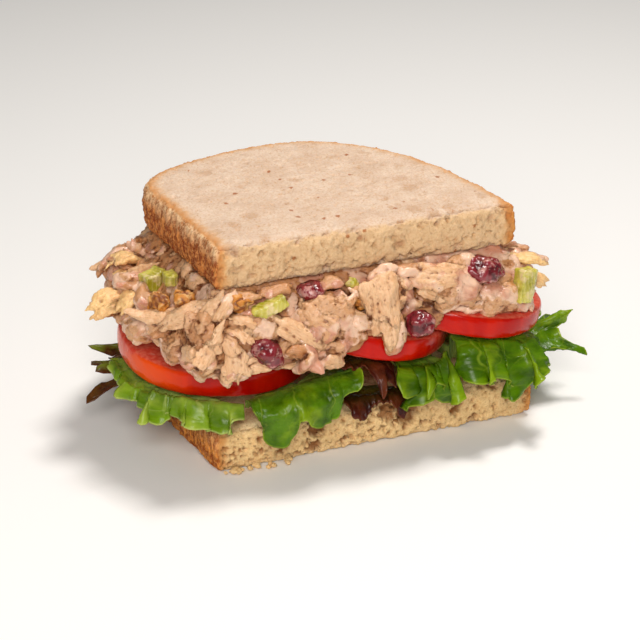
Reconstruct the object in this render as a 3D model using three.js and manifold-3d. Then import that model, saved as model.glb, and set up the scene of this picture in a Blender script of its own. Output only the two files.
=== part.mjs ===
// Half a chicken salad sandwich, cut straight across a country loaf, in millimetres.
// +X runs along the cut face, +Y from the cut face back to the crust, +Z up.
// The origin is on the underside of the bottom slice, at the middle of the slice.
//
// From the bottom up: bread, lettuce leaves, three shingled tomato slices, chicken salad with
// cranberries, celery and walnut in it, bread. The salad bulges out past the bread all round.

import * as THREE from "three";
import { mergeVertices } from "three/addons/utils/BufferGeometryUtils.js";
import Module from "manifold-3d";

const wasm = await Module();
wasm.setup();

// ---------------------------------------------------------------- driving dimensions

const CUT_Y = -38; // plane of the cut face of both slices
const SLICE_THICK = 16;
const TOP_UNDERSIDE = 68; // height of the top slice's underside above the table
const GAP = 0.35; // clearance kept between touching pieces
const LEAF_THICK = 0.9;
const LEAF_CLEAR = 1.2; // from the middle of a leaf to the tomato slice over it
const LEAF_LOWEST = 3; // leaves that hang out over the edge stop this far above the table
const TOMATO_SIDES = 28;
const SLOT_DEPTH = 30; // how far below a tomato slice the salad is cleared away

// The two halves of slices: where the cut starts on the left, how long and how deep they are, and
// how far the flat base of the loaf leans out from the cut.
const bottomSlice = { name: "bread_bottom", left: -60, length: 120, depth: 86, flare: 6, base: 0 };
const topSlice = {
  name: "bread_top",
  left: -58.7,
  length: 109.2,
  depth: 88.6,
  flare: 5,
  base: TOP_UNDERSIDE,
};

// Each tomato slice: centre of its underside, radius, thickness, and its slope along X and Y.
const tomatoes = [
  { name: "tomato_left", at: [-45.6, 1.5, 26.6], radius: 36, thick: 10.2, slope: [-0.035, 0.065] },
  { name: "tomato_middle", at: [0.9, -12.5, 35.2], radius: 34, thick: 9.4, slope: [-0.22, 0.02] },
  { name: "tomato_right", at: [37.3, -13, 37.6], radius: 34, thick: 9, slope: [-0.22, 0.02] },
];

const colours = {
  bread: 0xd9b98c,
  tomato: 0xc4190f,
  green: 0x4f8f1c,
  red: 0x5a2a1e,
  salad: 0xd8b48c,
  cranberry: 0x5c1420,
  celery: 0xa9b83a,
  walnut: 0xa8692c,
};

// ---------------------------------------------------------------- helpers

const vec = (x, y, z) => new THREE.Vector3(x, y, z);
const lerp = THREE.MathUtils.lerp;
const clamp = THREE.MathUtils.clamp;
const smooth = THREE.MathUtils.smoothstep;
const radians = THREE.MathUtils.degToRad;

// A small generator, so that every build draws the same numbers.
function seeded(seed) {
  let state = seed * 2654435761;
  return () => {
    state = (state + 0x6d2b79f5) | 0;
    let t = Math.imul(state ^ (state >>> 15), 1 | state);
    t = (t + Math.imul(t ^ (t >>> 7), 61 | t)) ^ t;
    return ((t ^ (t >>> 14)) >>> 0) / 4294967296;
  };
}

// Smooth irregular relief between -1 and 1, with lumps of about the given size.
function relief(x, y, z, size, seed) {
  const a = Math.sin(x / size + 1.7 * seed + Math.sin(y / size * 1.3 + seed));
  const b = Math.sin(y / size * 1.1 - 2.3 * seed + Math.sin(z / size * 1.7));
  const c = Math.sin(z / size * 1.3 + seed + Math.sin(x / size * 0.9 - seed));
  return (a + b + c) / 3;
}

function material(colour, roughness) {
  return new THREE.MeshStandardMaterial({ color: colour, roughness, metalness: 0 });
}

function geometry(points, faces) {
  const flat = points.flatMap((p) => [p.x, p.y, p.z]);
  return new THREE.BufferGeometry()
    .setAttribute("position", new THREE.Float32BufferAttribute(flat, 3))
    .setIndex(faces);
}

// Skins a stack of closed rings, each anticlockwise seen from above, and caps both ends with a fan.
function loft(rings, bottomCentre, topCentre) {
  const n = rings[0].length;
  const points = [...rings.flat(), bottomCentre, topCentre];
  const faces = [];
  for (let r = 0; r + 1 < rings.length; r++) {
    for (let i = 0; i < n; i++) {
      const a = r * n + i;
      const b = r * n + ((i + 1) % n);
      faces.push(a, b, b + n, a, b + n, a + n);
    }
  }
  const low = rings.length * n;
  const lastRing = low - n;
  for (let i = 0; i < n; i++) {
    const next = (i + 1) % n;
    faces.push(low, next, i, low + 1, lastRing + i, lastRing + next);
  }
  return geometry(points, faces);
}

function toSolid(shape) {
  const bare = shape.index ? shape.toNonIndexed() : shape.clone();
  bare.deleteAttribute("normal");
  bare.deleteAttribute("uv");
  const merged = mergeVertices(bare, 1e-4);
  return new wasm.Manifold(
    new wasm.Mesh({
      numProp: 3,
      vertProperties: merged.attributes.position.array,
      triVerts: new Uint32Array(merged.index.array),
    }),
  );
}

function fromSolid(solid) {
  const mesh = solid.getMesh();
  return new THREE.BufferGeometry()
    .setAttribute("position", new THREE.BufferAttribute(new Float32Array(mesh.vertProperties), 3))
    .setIndex(new THREE.BufferAttribute(mesh.triVerts, 1));
}

function largestPiece(solid) {
  return solid.decompose().sort((a, b) => b.volume() - a.volume())[0];
}

function trim(solid, cutters) {
  return largestPiece(cutters.reduce((left, cutter) => left.subtract(cutter), solid));
}

// ---------------------------------------------------------------- bread

// The slice seen from above: the straight cut, the dome of the loaf, its shoulder, and its flat
// base on the left.
function sliceOutline({ left, length, depth, flare }) {
  const right = left + length;
  const back = CUT_Y + depth;
  const crown = left + 0.43 * length;
  const shape = new THREE.Shape();
  shape.moveTo(left, CUT_Y);
  shape.lineTo(right, CUT_Y);
  const domeSide = [right - 0.04 * length, CUT_Y + 0.66 * depth];
  shape.bezierCurveTo(...domeSide, right - 0.24 * length, back + 3, crown, back);
  const shoulder = [left - flare, back - 11];
  shape.bezierCurveTo(left + 0.17 * length, back - 3, ...shoulder, left - flare, CUT_Y + 0.68 * depth);
  shape.lineTo(left, CUT_Y);
  const steps = [20, 18, 8, 8];
  return shape.curves.flatMap((curve, i) => curve.getSpacedPoints(steps[i]).slice(0, -1));
}

function centreOf(outline) {
  const sum = outline.reduce((total, p) => total.add(p), new THREE.Vector2());
  return sum.divideScalar(outline.length);
}

// One closed ring of a slice: drawn in towards the middle by inset, and uneven by up to rough.
function sliceRing(outline, centre, inset, z, rough, seed) {
  return outline.map((p) => {
    const away = p.clone().sub(centre);
    const reach = away.length() - inset + rough * relief(p.x, p.y, z, 3.1, seed);
    const at = away.setLength(reach).add(centre);
    return vec(at.x, at.y, z);
  });
}

function breadSlice(slice, seed) {
  const outline = sliceOutline(slice);
  const centre = centreOf(outline);
  const low = slice.base;
  const high = low + SLICE_THICK;
  const ring = (inset, z, rough) => sliceRing(outline, centre, inset, z, rough, seed);
  // The top face swells gently: each inner ring is a little higher, with shallow hollows.
  const swell = (share, lift) =>
    outline.map((p) => {
      const at = p.clone().lerp(centre, share);
      return vec(at.x, at.y, high + lift + 0.25 * relief(at.x, at.y, 0, 7, seed));
    });
  const rings = [
    ring(1.6, low, 0.3),
    ring(0.3, low + 1.2, 0.5),
    ring(-0.5, low + 0.36 * SLICE_THICK, 0.5),
    ring(-0.4, low + 0.68 * SLICE_THICK, 0.5),
    ring(0.6, high - 1.5, 0.4),
    ring(2.4, high - 0.3, 0.3),
    swell(0.4, 0.45),
  ];
  return loft(rings, vec(centre.x, centre.y, low), vec(centre.x, centre.y, high + 0.55));
}

// ---------------------------------------------------------------- tomato

// Turns a shape built upright on the origin to a tomato slice's slope, and sets it at its place.
function tomatoPlace({ at, slope }) {
  const normal = vec(-slope[0], -slope[1], 1).normalize();
  const turn = new THREE.Quaternion().setFromUnitVectors(vec(0, 0, 1), normal);
  return new THREE.Matrix4().compose(vec(...at), turn, vec(1, 1, 1));
}

function turned(profile, segments) {
  const points = profile.map(([r, z]) => new THREE.Vector2(r, z));
  return new THREE.LatheGeometry(points, segments).rotateX(Math.PI / 2);
}

// The skin bulges round the edge, and the outline has the faint lobes of a ripe tomato.
function tomatoSlice({ radius, thick }, seed) {
  const shape = turned(
    [
      [0, 0],
      [radius - 1.2, 0],
      [radius - 0.3, 0.2 * thick],
      [radius, 0.5 * thick],
      [radius - 0.4, thick - 1],
      [radius - 1.6, thick],
      [0, thick],
    ],
    TOMATO_SIDES,
  );
  const place = shape.attributes.position;
  for (let i = 0; i < place.count; i++) {
    const angle = Math.atan2(place.getY(i), place.getX(i));
    const lobed = 1 + 0.012 * Math.cos(5 * angle + seed) + 0.008 * Math.cos(3 * angle - seed);
    place.setXY(i, place.getX(i) * lobed, place.getY(i) * lobed);
  }
  return shape;
}

// The room that a tomato slice takes, run on downwards, so that no salad is left under it.
function tomatoRoom(tomato) {
  const reach = tomato.radius + 0.9 + GAP;
  const roof = tomato.thick + GAP;
  const wall = [[reach, -SLOT_DEPTH], [reach, roof - 1], [reach - 1.4, roof]];
  const room = turned([[0, -SLOT_DEPTH], ...wall, [0, roof]], TOMATO_SIDES);
  return room.applyMatrix4(tomatoPlace(tomato));
}

// Height of a tomato slice's underside over a point, or none where the slice doesn't reach.
function underside(tomato, x, y) {
  const dx = x - tomato.at[0];
  const dy = y - tomato.at[1];
  if (Math.hypot(dx, dy) > tomato.radius + 3) return Infinity;
  return tomato.at[2] + tomato.slope[0] * dx + tomato.slope[1] * dy;
}

// ---------------------------------------------------------------- lettuce

// A leaf lies across the rim of the stack along a curve from `from` to `to`, bowed outwards by `bow`,
// at the two heights of `level`. It is tucked in by `tuck`. Over the first `over` of what hangs out
// it turns from the first to the second angle of `fall` below level, and then runs on straight.
// It hangs out by `least`, and further at its lobes: [place along the leaf, how far out, half width].
// `waves` ruffles of height `wave` grow towards the free edge, and the tucked part is crumpled
// into folds of height `fold`. The sheet is `across` by `deep` steps.
const leaves = [
  {
    name: "lettuce_front_left", leaf: "green", across: 20, deep: 5,
    from: [-81, 8], to: [-51.5, -42], bow: 11, level: [28, 24], tuck: 15,
    fall: [30, 70], over: 10, waves: 4.4, wave: 2.5, phase: 0.4, fold: 0,
    least: 6.5, lobes: [[0.08, 10, 0.06], [0.27, 10.5, 0.1], [0.47, 12.5, 0.09], [0.68, 9.5, 0.1], [0.9, 9, 0.11]],
  },
  {
    name: "lettuce_front", leaf: "green", across: 20, deep: 5,
    from: [-49.5, -42], to: [-10, -42.5], bow: 0.6, level: [26, 31.5], tuck: 14,
    fall: [-34, 92], over: 11, waves: 1.3, wave: 1.2, phase: 3.6, fold: 0,
    least: 16, lobes: [[0.12, 21, 0.1], [0.3, 26, 0.13], [0.62, 22.5, 0.1], [0.9, 22, 0.08]],
  },
  {
    name: "lettuce_red_low", leaf: "red", across: 12, deep: 4,
    from: [-14, -40], to: [10, -40.5], bow: 0.4, level: [18.6, 18.6], tuck: 12,
    fall: [0, 82], over: 6, waves: 1.7, wave: 1, phase: 0.4, fold: 0,
    least: 3, lobes: [[0.22, 7, 0.16], [0.84, 9, 0.1]],
  },
  {
    name: "lettuce_red_high", leaf: "red", across: 12, deep: 5,
    from: [-17, -41], to: [2.4, -41.5], bow: 0.1, level: [34, 32], tuck: 15,
    fall: [-18, 74], over: 10, waves: 1.2, wave: 1.2, phase: 2.6, fold: 0,
    least: 3, lobes: [[0.7, 14, 0.12], [0.92, 11, 0.1]],
  },
  {
    name: "lettuce_front_right", leaf: "green", across: 18, deep: 5,
    from: [4.6, -42], to: [24.2, -42], bow: 0.4, level: [33, 31], tuck: 12,
    fall: [-8, 88], over: 12, waves: 2.6, wave: 2.1, phase: 1.2, fold: 0,
    least: 11, lobes: [[0.08, 13, 0.12], [0.4, 21, 0.13], [0.66, 17, 0.08], [0.88, 21, 0.1]],
  },
  {
    name: "lettuce_right", leaf: "green", across: 20, deep: 5,
    from: [26.2, -42], to: [61.5, -37], bow: 1.6, level: [38, 31], tuck: 12,
    fall: [0, 74], over: 15, waves: 2.5, wave: 1.9, phase: 4.4, fold: 0,
    least: 17, lobes: [[0.06, 18, 0.12], [0.32, 24, 0.12], [0.62, 26, 0.1], [0.88, 20, 0.1]],
  },
  {
    name: "lettuce_right_end", leaf: "green", across: 16, deep: 5,
    from: [64, -31], to: [65, 1], bow: 2, level: [18.5, 20], tuck: 13,
    fall: [-24, -4], over: 14, waves: 1.6, wave: 4.2, phase: 3.1, fold: 0,
    least: 13, lobes: [[0.16, 22, 0.1], [0.46, 20, 0.12], [0.7, 19, 0.12], [0.9, 17, 0.1]],
  },
  {
    name: "lettuce_right_back", leaf: "green", across: 14, deep: 4,
    from: [64, 4], to: [40, 35], bow: 4, level: [20.2, 20.4], tuck: 11,
    fall: [-4, 40], over: 12, waves: 3.2, wave: 2.6, phase: 0.3, fold: 0,
    least: 9, lobes: [[0.15, 14, 0.13], [0.5, 16, 0.16], [0.84, 14, 0.14]],
  },
  {
    name: "lettuce_back", leaf: "green", across: 16, deep: 4,
    from: [37, 38], to: [-16, 49.8], bow: 6, level: [20.4, 19.4], tuck: 12,
    fall: [0, 52], over: 12, waves: 4.2, wave: 2.6, phase: 1.9, fold: 0,
    least: 9, lobes: [[0.12, 13, 0.1], [0.36, 15, 0.12], [0.62, 14, 0.12], [0.86, 13, 0.12]],
  },
  {
    name: "lettuce_back_left", leaf: "green", across: 14, deep: 4,
    from: [-21, 49], to: [-61, 36], bow: 7, level: [19.2, 19.2], tuck: 11,
    fall: [4, 50], over: 12, waves: 3.2, wave: 2.4, phase: 3.3, fold: 0,
    least: 9, lobes: [[0.16, 12, 0.12], [0.46, 14, 0.14], [0.78, 14, 0.14]],
  },
  {
    name: "lettuce_red_left", leaf: "red", across: 16, deep: 4,
    from: [-67, 33], to: [-71, 4], bow: 3, level: [18.4, 19], tuck: 11,
    fall: [0, 14], over: 14, waves: 2.2, wave: 1.8, phase: 0.9, fold: 0,
    least: 5, lobes: [[0.14, 15, 0.06], [0.36, 16, 0.07], [0.58, 15, 0.06], [0.82, 21, 0.07]],
  },
  {
    name: "lettuce_bed_right", leaf: "green", across: 10, deep: 8,
    from: [47, -26], to: [40, 14], bow: 2, level: [25.5, 25.5], tuck: 42,
    fall: [0, 30], over: 6, waves: 1.5, wave: 1.5, phase: 0.5, fold: 6.5,
    least: 2, lobes: [],
  },
  {
    name: "lettuce_bed_left", leaf: "green", across: 10, deep: 7,
    from: [-52, 24], to: [-50, -22], bow: 2, level: [21.2, 21.2], tuck: 46,
    fall: [0, 30], over: 6, waves: 1.5, wave: 1, phase: 2.5, fold: 3,
    least: 2, lobes: [],
  },
];

// Place on a leaf's rim line, with the directions along it and outwards.
function rimPoint({ from, to, bow }, s) {
  const start = new THREE.Vector2(...from);
  const end = new THREE.Vector2(...to);
  const run = end.clone().sub(start);
  const out = new THREE.Vector2(run.y, -run.x).normalize();
  const middle = start.clone().lerp(end, 0.5).addScaledVector(out, 2 * bow);
  const curve = new THREE.QuadraticBezierCurve(start, middle, end);
  const along = curve.getTangent(s);
  return { at: curve.getPoint(s), along, out: new THREE.Vector2(along.y, -along.x) };
}

function lobeReach(leaf, s) {
  return leaf.lobes.reduce((far, [at, reach, wide]) => {
    const off = (s - at) / wide;
    return Math.max(far, reach * Math.exp(-0.5 * off * off));
  }, leaf.least);
}

function leafPoint(leaf, s, t) {
  const { at, along, out } = rimPoint(leaf, s);
  const rounded = Math.pow(Math.sin(Math.PI * clamp(s, 0.03, 0.97)), 0.45);
  const hang = lobeReach(leaf, s);
  const d = lerp(-leaf.tuck * rounded, hang, t);
  const [start, end] = leaf.fall.map(radians);
  const bend = (end - start) / leaf.over;
  const angle = start + bend * clamp(d, 0, leaf.over);
  const beyond = d > 0 ? Math.max(d - leaf.over, 0) : d;
  const reach = (Math.sin(angle) - Math.sin(start)) / bend + beyond * Math.cos(angle);
  const drop = (Math.cos(start) - Math.cos(angle)) / bend + beyond * Math.sin(angle);
  const growth = Math.pow(clamp((d + 4) / (hang + 4), 0, 1), 1.4) * clamp(hang / 10, 0, 1);
  const turn = 2 * Math.PI * leaf.waves * s + leaf.phase;
  const rise = leaf.wave * growth * (Math.sin(turn) + 0.35 * Math.sin(2.3 * turn + 1));
  const shift = 0.4 * leaf.wave * growth * Math.sin(2 * turn + 0.7);
  const crumple = leaf.fold * clamp(-d / 6, 0, 1) * Math.sin(d / 3.2 + 2 * Math.sin(5 * s));
  const outward = reach + rise * Math.sin(angle);
  const x = at.x + out.x * outward + along.x * shift;
  const y = at.y + out.y * outward + along.y * shift;
  const z = lerp(leaf.level[0], leaf.level[1], s) - drop + crumple + rise * Math.cos(angle);
  return vec(x, y, clamp(z, leafFloor(x, y), leafCeiling(x, y)));
}

// Leaves lie on the bottom slice, and under the tomato slices and the heap.
function leafFloor(x, y) {
  const { left, length, flare } = bottomSlice;
  const overSlice = y > CUT_Y - 1.6 && x > left - flare - 2.5 && x < left + length + 1.5;
  return overSlice ? SLICE_THICK + LEAF_CLEAR + 0.4 : LEAF_LOWEST;
}

function leafCeiling(x, y) {
  const lowest = Math.min(...tomatoes.map((tomato) => underside(tomato, x, y)), FOOT_FRONT + 4);
  return lowest - LEAF_CLEAR;
}

// Both faces of a sheet are split into triangles alike, and its edge is closed all round.
function leafSheet(leaf) {
  const { across, deep } = leaf;
  const middle = [];
  for (let i = 0; i <= across; i++) {
    for (let j = 0; j <= deep; j++) middle.push(leafPoint(leaf, i / across, j / deep));
  }
  const at = (i, j) => i * (deep + 1) + j;
  const point = (i, j) => middle[at(clamp(i, 0, across), clamp(j, 0, deep))];
  const upper = [];
  const lower = [];
  for (let i = 0; i <= across; i++) {
    for (let j = 0; j <= deep; j++) {
      const u = point(i + 1, j).clone().sub(point(i - 1, j));
      const v = point(i, j + 1).clone().sub(point(i, j - 1));
      const normal = v.cross(u).normalize();
      upper.push(point(i, j).clone().addScaledVector(normal, LEAF_THICK / 2));
      lower.push(point(i, j).clone().addScaledVector(normal, -LEAF_THICK / 2));
    }
  }
  const under = upper.length;
  const faces = [];
  const quad = (a, b, c, d) => faces.push(a, b, c, a, c, d);
  for (let i = 0; i < across; i++) {
    for (let j = 0; j < deep; j++) {
      const [a, b, c, d] = [at(i, j), at(i, j + 1), at(i + 1, j + 1), at(i + 1, j)];
      quad(a, b, c, d);
      faces.push(a + under, c + under, b + under, a + under, d + under, c + under);
    }
  }
  for (let i = 0; i < across; i++) {
    quad(at(i, 0), at(i + 1, 0), at(i + 1, 0) + under, at(i, 0) + under);
    quad(at(i + 1, deep), at(i, deep), at(i, deep) + under, at(i + 1, deep) + under);
  }
  for (let j = 0; j < deep; j++) {
    quad(at(0, j + 1), at(0, j), at(0, j) + under, at(0, j + 1) + under);
    quad(at(across, j), at(across, j + 1), at(across, j + 1) + under, at(across, j) + under);
  }
  return geometry([...upper, ...lower], faces);
}

// ---------------------------------------------------------------- chicken salad

// The heap from its foot to the bread: shares of its height, and how far it swells past the top
// slice there.
const saladSwell = [
  [0, 0],
  [0.12, 4],
  [0.3, 7],
  [0.5, 6.5],
  [0.7, 3],
  [0.88, -1],
  [1, -5],
];
const FOOT_FRONT = 36; // in front the heap stands on the tomato slices
const FOOT_BACK = 24.5; // behind them it fills the room down to the lettuce
const LEFT_BULGE = 6; // it also pushes out past the flat crust on the left

function saladCore() {
  const outline = sliceOutline(topSlice).filter((_, i) => i % 2 === 0);
  const centre = centreOf(outline);
  const top = TOP_UNDERSIDE - GAP;
  const rings = saladSwell.map(([share, swell]) =>
    outline.map((p) => {
      const away = p.clone().sub(centre);
      const z = lerp(lerp(FOOT_FRONT, FOOT_BACK, smooth(p.y, 4, 26)), top, share);
      const leftward = LEFT_BULGE * smooth(-away.x / away.length(), 0.4, 1);
      const uneven = leftward + 2 * relief(p.x, p.y, z, 5.5, 4);
      const reach = away.length() + swell + uneven * Math.sin(Math.PI * share);
      const at = away.setLength(reach).add(centre);
      return vec(at.x, at.y, z);
    }),
  );
  return loft(rings, vec(centre.x, centre.y, FOOT_FRONT - 3), vec(centre.x, centre.y, top));
}

// A rough ball drawn out to the given half sizes, turned about Z by yaw after tilting by pitch.
function lump(ball, { at, half, yaw, pitch }, seed, rough) {
  const shape = ball.clone();
  const place = shape.attributes.position;
  for (let i = 0; i < place.count; i++) {
    const p = vec(place.getX(i), place.getY(i), place.getZ(i));
    const swell = 1 + rough * relief(p.x, p.y, p.z, 0.42, seed);
    place.setXYZ(i, p.x * swell * half[0], p.y * swell * half[1], p.z * swell * half[2]);
  }
  return shape
    .applyMatrix4(new THREE.Matrix4().makeRotationY(radians(-pitch)))
    .applyMatrix4(new THREE.Matrix4().makeRotationZ(radians(yaw)))
    .translate(...at);
}

// A torn piece of chicken, with its grain along its length.
function chicken(piece, seed) {
  return lump(new THREE.SphereGeometry(1, 8, 5).rotateZ(Math.PI / 2), piece, seed, 0.2);
}

// A shred of meat: a flat tapering strip along a bent line.
function shred({ from, to, sag, wide }, seed) {
  const steps = 4;
  const sides = 6;
  const start = vec(...from);
  const end = vec(...to);
  const middle = start.clone().lerp(end, 0.5).add(vec(0, 0, -sag));
  const line = new THREE.QuadraticBezierCurve3(start, middle, end);
  const rings = [];
  for (let k = 0; k <= steps; k++) {
    const t = k / steps;
    const along = line.getTangent(t);
    const side = vec(0, 0, 1).cross(along).normalize();
    const up = along.clone().cross(side);
    const width = wide * (0.35 + 0.65 * Math.pow(1 - t, 0.6)) * (1 + 0.15 * Math.sin(5 * t + seed));
    const ring = [];
    for (let i = 0; i < sides; i++) {
      const angle = (2 * Math.PI * i) / sides;
      const p = line.getPoint(t);
      p.addScaledVector(side, width * Math.cos(angle)).addScaledVector(up, 0.42 * width * Math.sin(angle));
      ring.push(p);
    }
    rings.push(ring);
  }
  return loft(rings, start, end);
}

// The pieces of chicken that stand out, by place, half sizes, and turn about Z and tilt of the grain.
const chickenPieces = [
  { at: [-1, -43, 59], half: [7, 5.5, 8.5], yaw: 10, pitch: 0 },
  { at: [1, -48, 47], half: [4.2, 3.6, 9], yaw: 0, pitch: -8 },
  { at: [24, -42, 57], half: [11, 6, 7], yaw: 5, pitch: -16 },
  { at: [44, -39, 50], half: [9, 6.5, 6], yaw: 12, pitch: 0 },
  { at: [-21, -43, 56], half: [9, 6.5, 7.5], yaw: -8, pitch: 20 },
  { at: [-15, -46, 47.5], half: [7, 5, 5], yaw: 0, pitch: -18 },
  { at: [-31, -46, 50], half: [10, 5, 5], yaw: -6, pitch: 24 },
  { at: [-24, -49, 43.5], half: [8, 3.6, 3.6], yaw: 0, pitch: 24 },
  { at: [-46, -42, 57], half: [9, 5.5, 5], yaw: -10, pitch: -25 },
  { at: [-62, -35, 55], half: [9, 6, 7], yaw: 40, pitch: -18 },
  { at: [-67, -27, 47], half: [9.5, 7, 6], yaw: 48, pitch: 0 },
  { at: [-53, -41.5, 43], half: [5, 4, 6.5], yaw: 0, pitch: -20 },
  { at: [-73, 2, 54], half: [7, 10, 6], yaw: 10, pitch: 0 },
  { at: [-72, 20, 53], half: [6.5, 10, 8], yaw: 0, pitch: 0 },
  { at: [-76, -10, 46.5], half: [7, 6.5, 5], yaw: 25, pitch: -10 },
  { at: [53, -32, 56], half: [7, 6.5, 6], yaw: 30, pitch: 0 },
];

const chickenShreds = [
  { from: [-68, 10, 50], to: [-90, 5, 51], sag: 1.5, wide: 4.8 },
  { from: [-68, 15, 44], to: [-88, 8, 44.5], sag: 1, wide: 4.2 },
  { from: [-62, 20, 56], to: [-80, 15, 62], sag: 1, wide: 5.2 },
  { from: [-64, 2, 57], to: [-83, -2, 60], sag: 1.5, wide: 4.4 },
  { from: [-60, -22, 50], to: [-79, -28, 51], sag: -2, wide: 4 },
  { from: [48, -30, 61], to: [65, -37, 59.5], sag: -1.5, wide: 4 },
  { from: [50, -27, 54], to: [64, -31, 52], sag: 1, wide: 4 },
  { from: [-38, -40, 49], to: [-18, -50, 40.5], sag: -1.5, wide: 3.4 },
  { from: [-40, -36, 60], to: [-56, -45, 54], sag: 0, wide: 3.2 },
];

// Lumps set round the sides and the back, where the photograph doesn't reach, in two rows.
function rimPieces() {
  const draw = seeded(7);
  const outline = sliceOutline(topSlice);
  const centre = centreOf(outline);
  const pieces = [];
  for (const [z, swell, first] of [[44, 3, 22], [57, -2, 26]]) {
    for (let i = first; i < 46; i += 8) {
      const away = outline[i].clone().sub(centre);
      const at = away.setLength(away.length() + swell + 2 * draw()).add(centre);
      const long = 7 + 3.5 * draw();
      pieces.push({
        at: [at.x, at.y, z + 4 * draw() - 2],
        half: [long, 4.5 + 2 * draw(), 4.5 + 2 * draw()],
        yaw: 360 * draw(),
        pitch: 50 * draw() - 25,
      });
    }
  }
  return pieces;
}

// ---------------------------------------------------------------- pieces in the salad

const cranberries = [
  { name: "cranberry_upper_right", at: [37, -41.5, 62.2], half: [8, 5.5, 4.6], yaw: 0, pitch: -12 },
  { name: "cranberry_middle", at: [10.6, -48.5, 49.2], half: [4.8, 4.2, 4.8], yaw: 0, pitch: 20 },
  { name: "cranberry_lower_left", at: [-43.8, -45.5, 47.2], half: [6.6, 4.4, 4.8], yaw: 0, pitch: -45 },
  { name: "cranberry_under_bread", at: [-26.5, -40.5, 64.6], half: [4.6, 4, 2.8], yaw: 0, pitch: 0 },
  { name: "cranberry_right_side", at: [57.5, -8, 52], half: [4.5, 6.8, 4.5], yaw: 10, pitch: 0 },
  { name: "cranberry_back", at: [-8, 52.5, 55], half: [6.8, 4.4, 4.6], yaw: 0, pitch: 15 },
  { name: "cranberry_back_right", at: [36, 39, 45], half: [6.4, 4.6, 4.6], yaw: -45, pitch: 0 },
];

const celeryPieces = [
  { name: "celery_front_left", at: [-42.4, -43.5, 62.4], size: [12.5, 6, 4.6], yaw: -6, pitch: 22 },
  { name: "celery_left", at: [-69.5, -2, 59.5], size: [8.5, 8, 7.5], yaw: 20, pitch: 10 },
  { name: "celery_right", at: [53.6, -41.5, 53.6], size: [8, 6.5, 12], yaw: 25, pitch: -12 },
  { name: "celery_low_left", at: [-55.4, -43.2, 49.2], size: [5.4, 4, 3], yaw: 0, pitch: 0 },
  { name: "celery_middle", at: [-11.8, -41.5, 65], size: [3.6, 4, 4], yaw: 30, pitch: 40 },
  { name: "celery_left_edge", at: [-66.5, -12, 64], size: [4.6, 7, 4.4], yaw: 0, pitch: 0 },
  { name: "celery_back", at: [14, 46, 58], size: [10, 6, 5.5], yaw: -30, pitch: 10 },
  { name: "celery_back_left", at: [-46, 49, 48], size: [9, 6, 6], yaw: 25, pitch: 0 },
  { name: "celery_right_side", at: [52.5, 10, 58], size: [5.5, 9, 5.5], yaw: 10, pitch: 0 },
];

const walnutPieces = [
  { name: "walnut_left", at: [-72.5, -19, 57.5], half: [3.4, 5, 4.6], yaw: 20, pitch: 0 },
  { name: "walnut_corner", at: [-67, -29, 62.5], half: [4, 4.6, 3.2], yaw: -30, pitch: 10 },
  { name: "walnut_under_bread", at: [-51.5, -40.5, 64.2], half: [5.6, 4, 3.2], yaw: 0, pitch: -8 },
  { name: "walnut_middle", at: [-9, -44, 58.8], half: [3.4, 3, 2.8], yaw: 0, pitch: 25 },
  { name: "walnut_back", at: [-30, 51, 60], half: [5.4, 4, 4], yaw: 10, pitch: 0 },
];

// A dice cut from a celery stick: a block with a bowed outer face and a hollow inner one.
function celeryDice({ at, size, yaw, pitch }) {
  const [long, deep, tall] = size;
  const profile = new THREE.Shape();
  profile.moveTo(-long / 2, -0.32 * deep);
  profile.quadraticCurveTo(0, -0.72 * deep, long / 2, -0.32 * deep);
  profile.lineTo(0.44 * long, 0.42 * deep);
  profile.quadraticCurveTo(0, 0.16 * deep, -0.44 * long, 0.42 * deep);
  const bevel = 0.5;
  return new THREE.ExtrudeGeometry(profile, {
    depth: tall - 2 * bevel,
    curveSegments: 3,
    bevelSize: bevel,
    bevelThickness: bevel,
    bevelOffset: -bevel,
    bevelSegments: 1,
  })
    .translate(0, 0, bevel - tall / 2)
    .applyMatrix4(new THREE.Matrix4().makeRotationY(radians(-pitch)))
    .applyMatrix4(new THREE.Matrix4().makeRotationZ(radians(yaw)))
    .translate(...at);
}

// ---------------------------------------------------------------- assembly

// A piece grown by the clearance on every side, to cut its bed out of what holds it.
function grown(piece, make) {
  const roomy = { ...piece };
  for (const key of ["half", "size"]) {
    if (piece[key]) roomy[key] = piece[key].map((length) => length + (key === "half" ? 1 : 2) * GAP);
  }
  return toSolid(make(roomy));
}

const sandwich = new THREE.Group();

function add(name, shape, finish) {
  const mesh = new THREE.Mesh(shape, finish);
  mesh.name = name;
  sandwich.add(mesh);
  return mesh;
}

const breadShapes = [breadSlice(bottomSlice, 1), breadSlice(topSlice, 2)];
add(bottomSlice.name, breadShapes[0], material(colours.bread, 0.9));
add(topSlice.name, breadShapes[1], material(colours.bread, 0.9));

tomatoes.forEach((tomato, i) => {
  const mesh = add(tomato.name, tomatoSlice(tomato, i), material(colours.tomato, 0.3));
  mesh.applyMatrix4(tomatoPlace(tomato));
});
const tomatoRooms = tomatoes.map((tomato) => toSolid(tomatoRoom(tomato)));

for (const leaf of leaves) add(leaf.name, leafSheet(leaf), material(colours[leaf.leaf], 0.45));

const berrySolid = (piece) => lump(new THREE.SphereGeometry(1, 8, 6), piece, 3.1, 0.12);
const walnutSolid = (piece) => lump(new THREE.IcosahedronGeometry(1, 1), piece, 5.3, 0.34);
const embedded = [
  ...cranberries.map((piece) => [piece, berrySolid, colours.cranberry, 0.3]),
  ...celeryPieces.map((piece) => [piece, celeryDice, colours.celery, 0.4]),
  ...walnutPieces.map((piece) => [piece, walnutSolid, colours.walnut, 0.6]),
];

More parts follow.
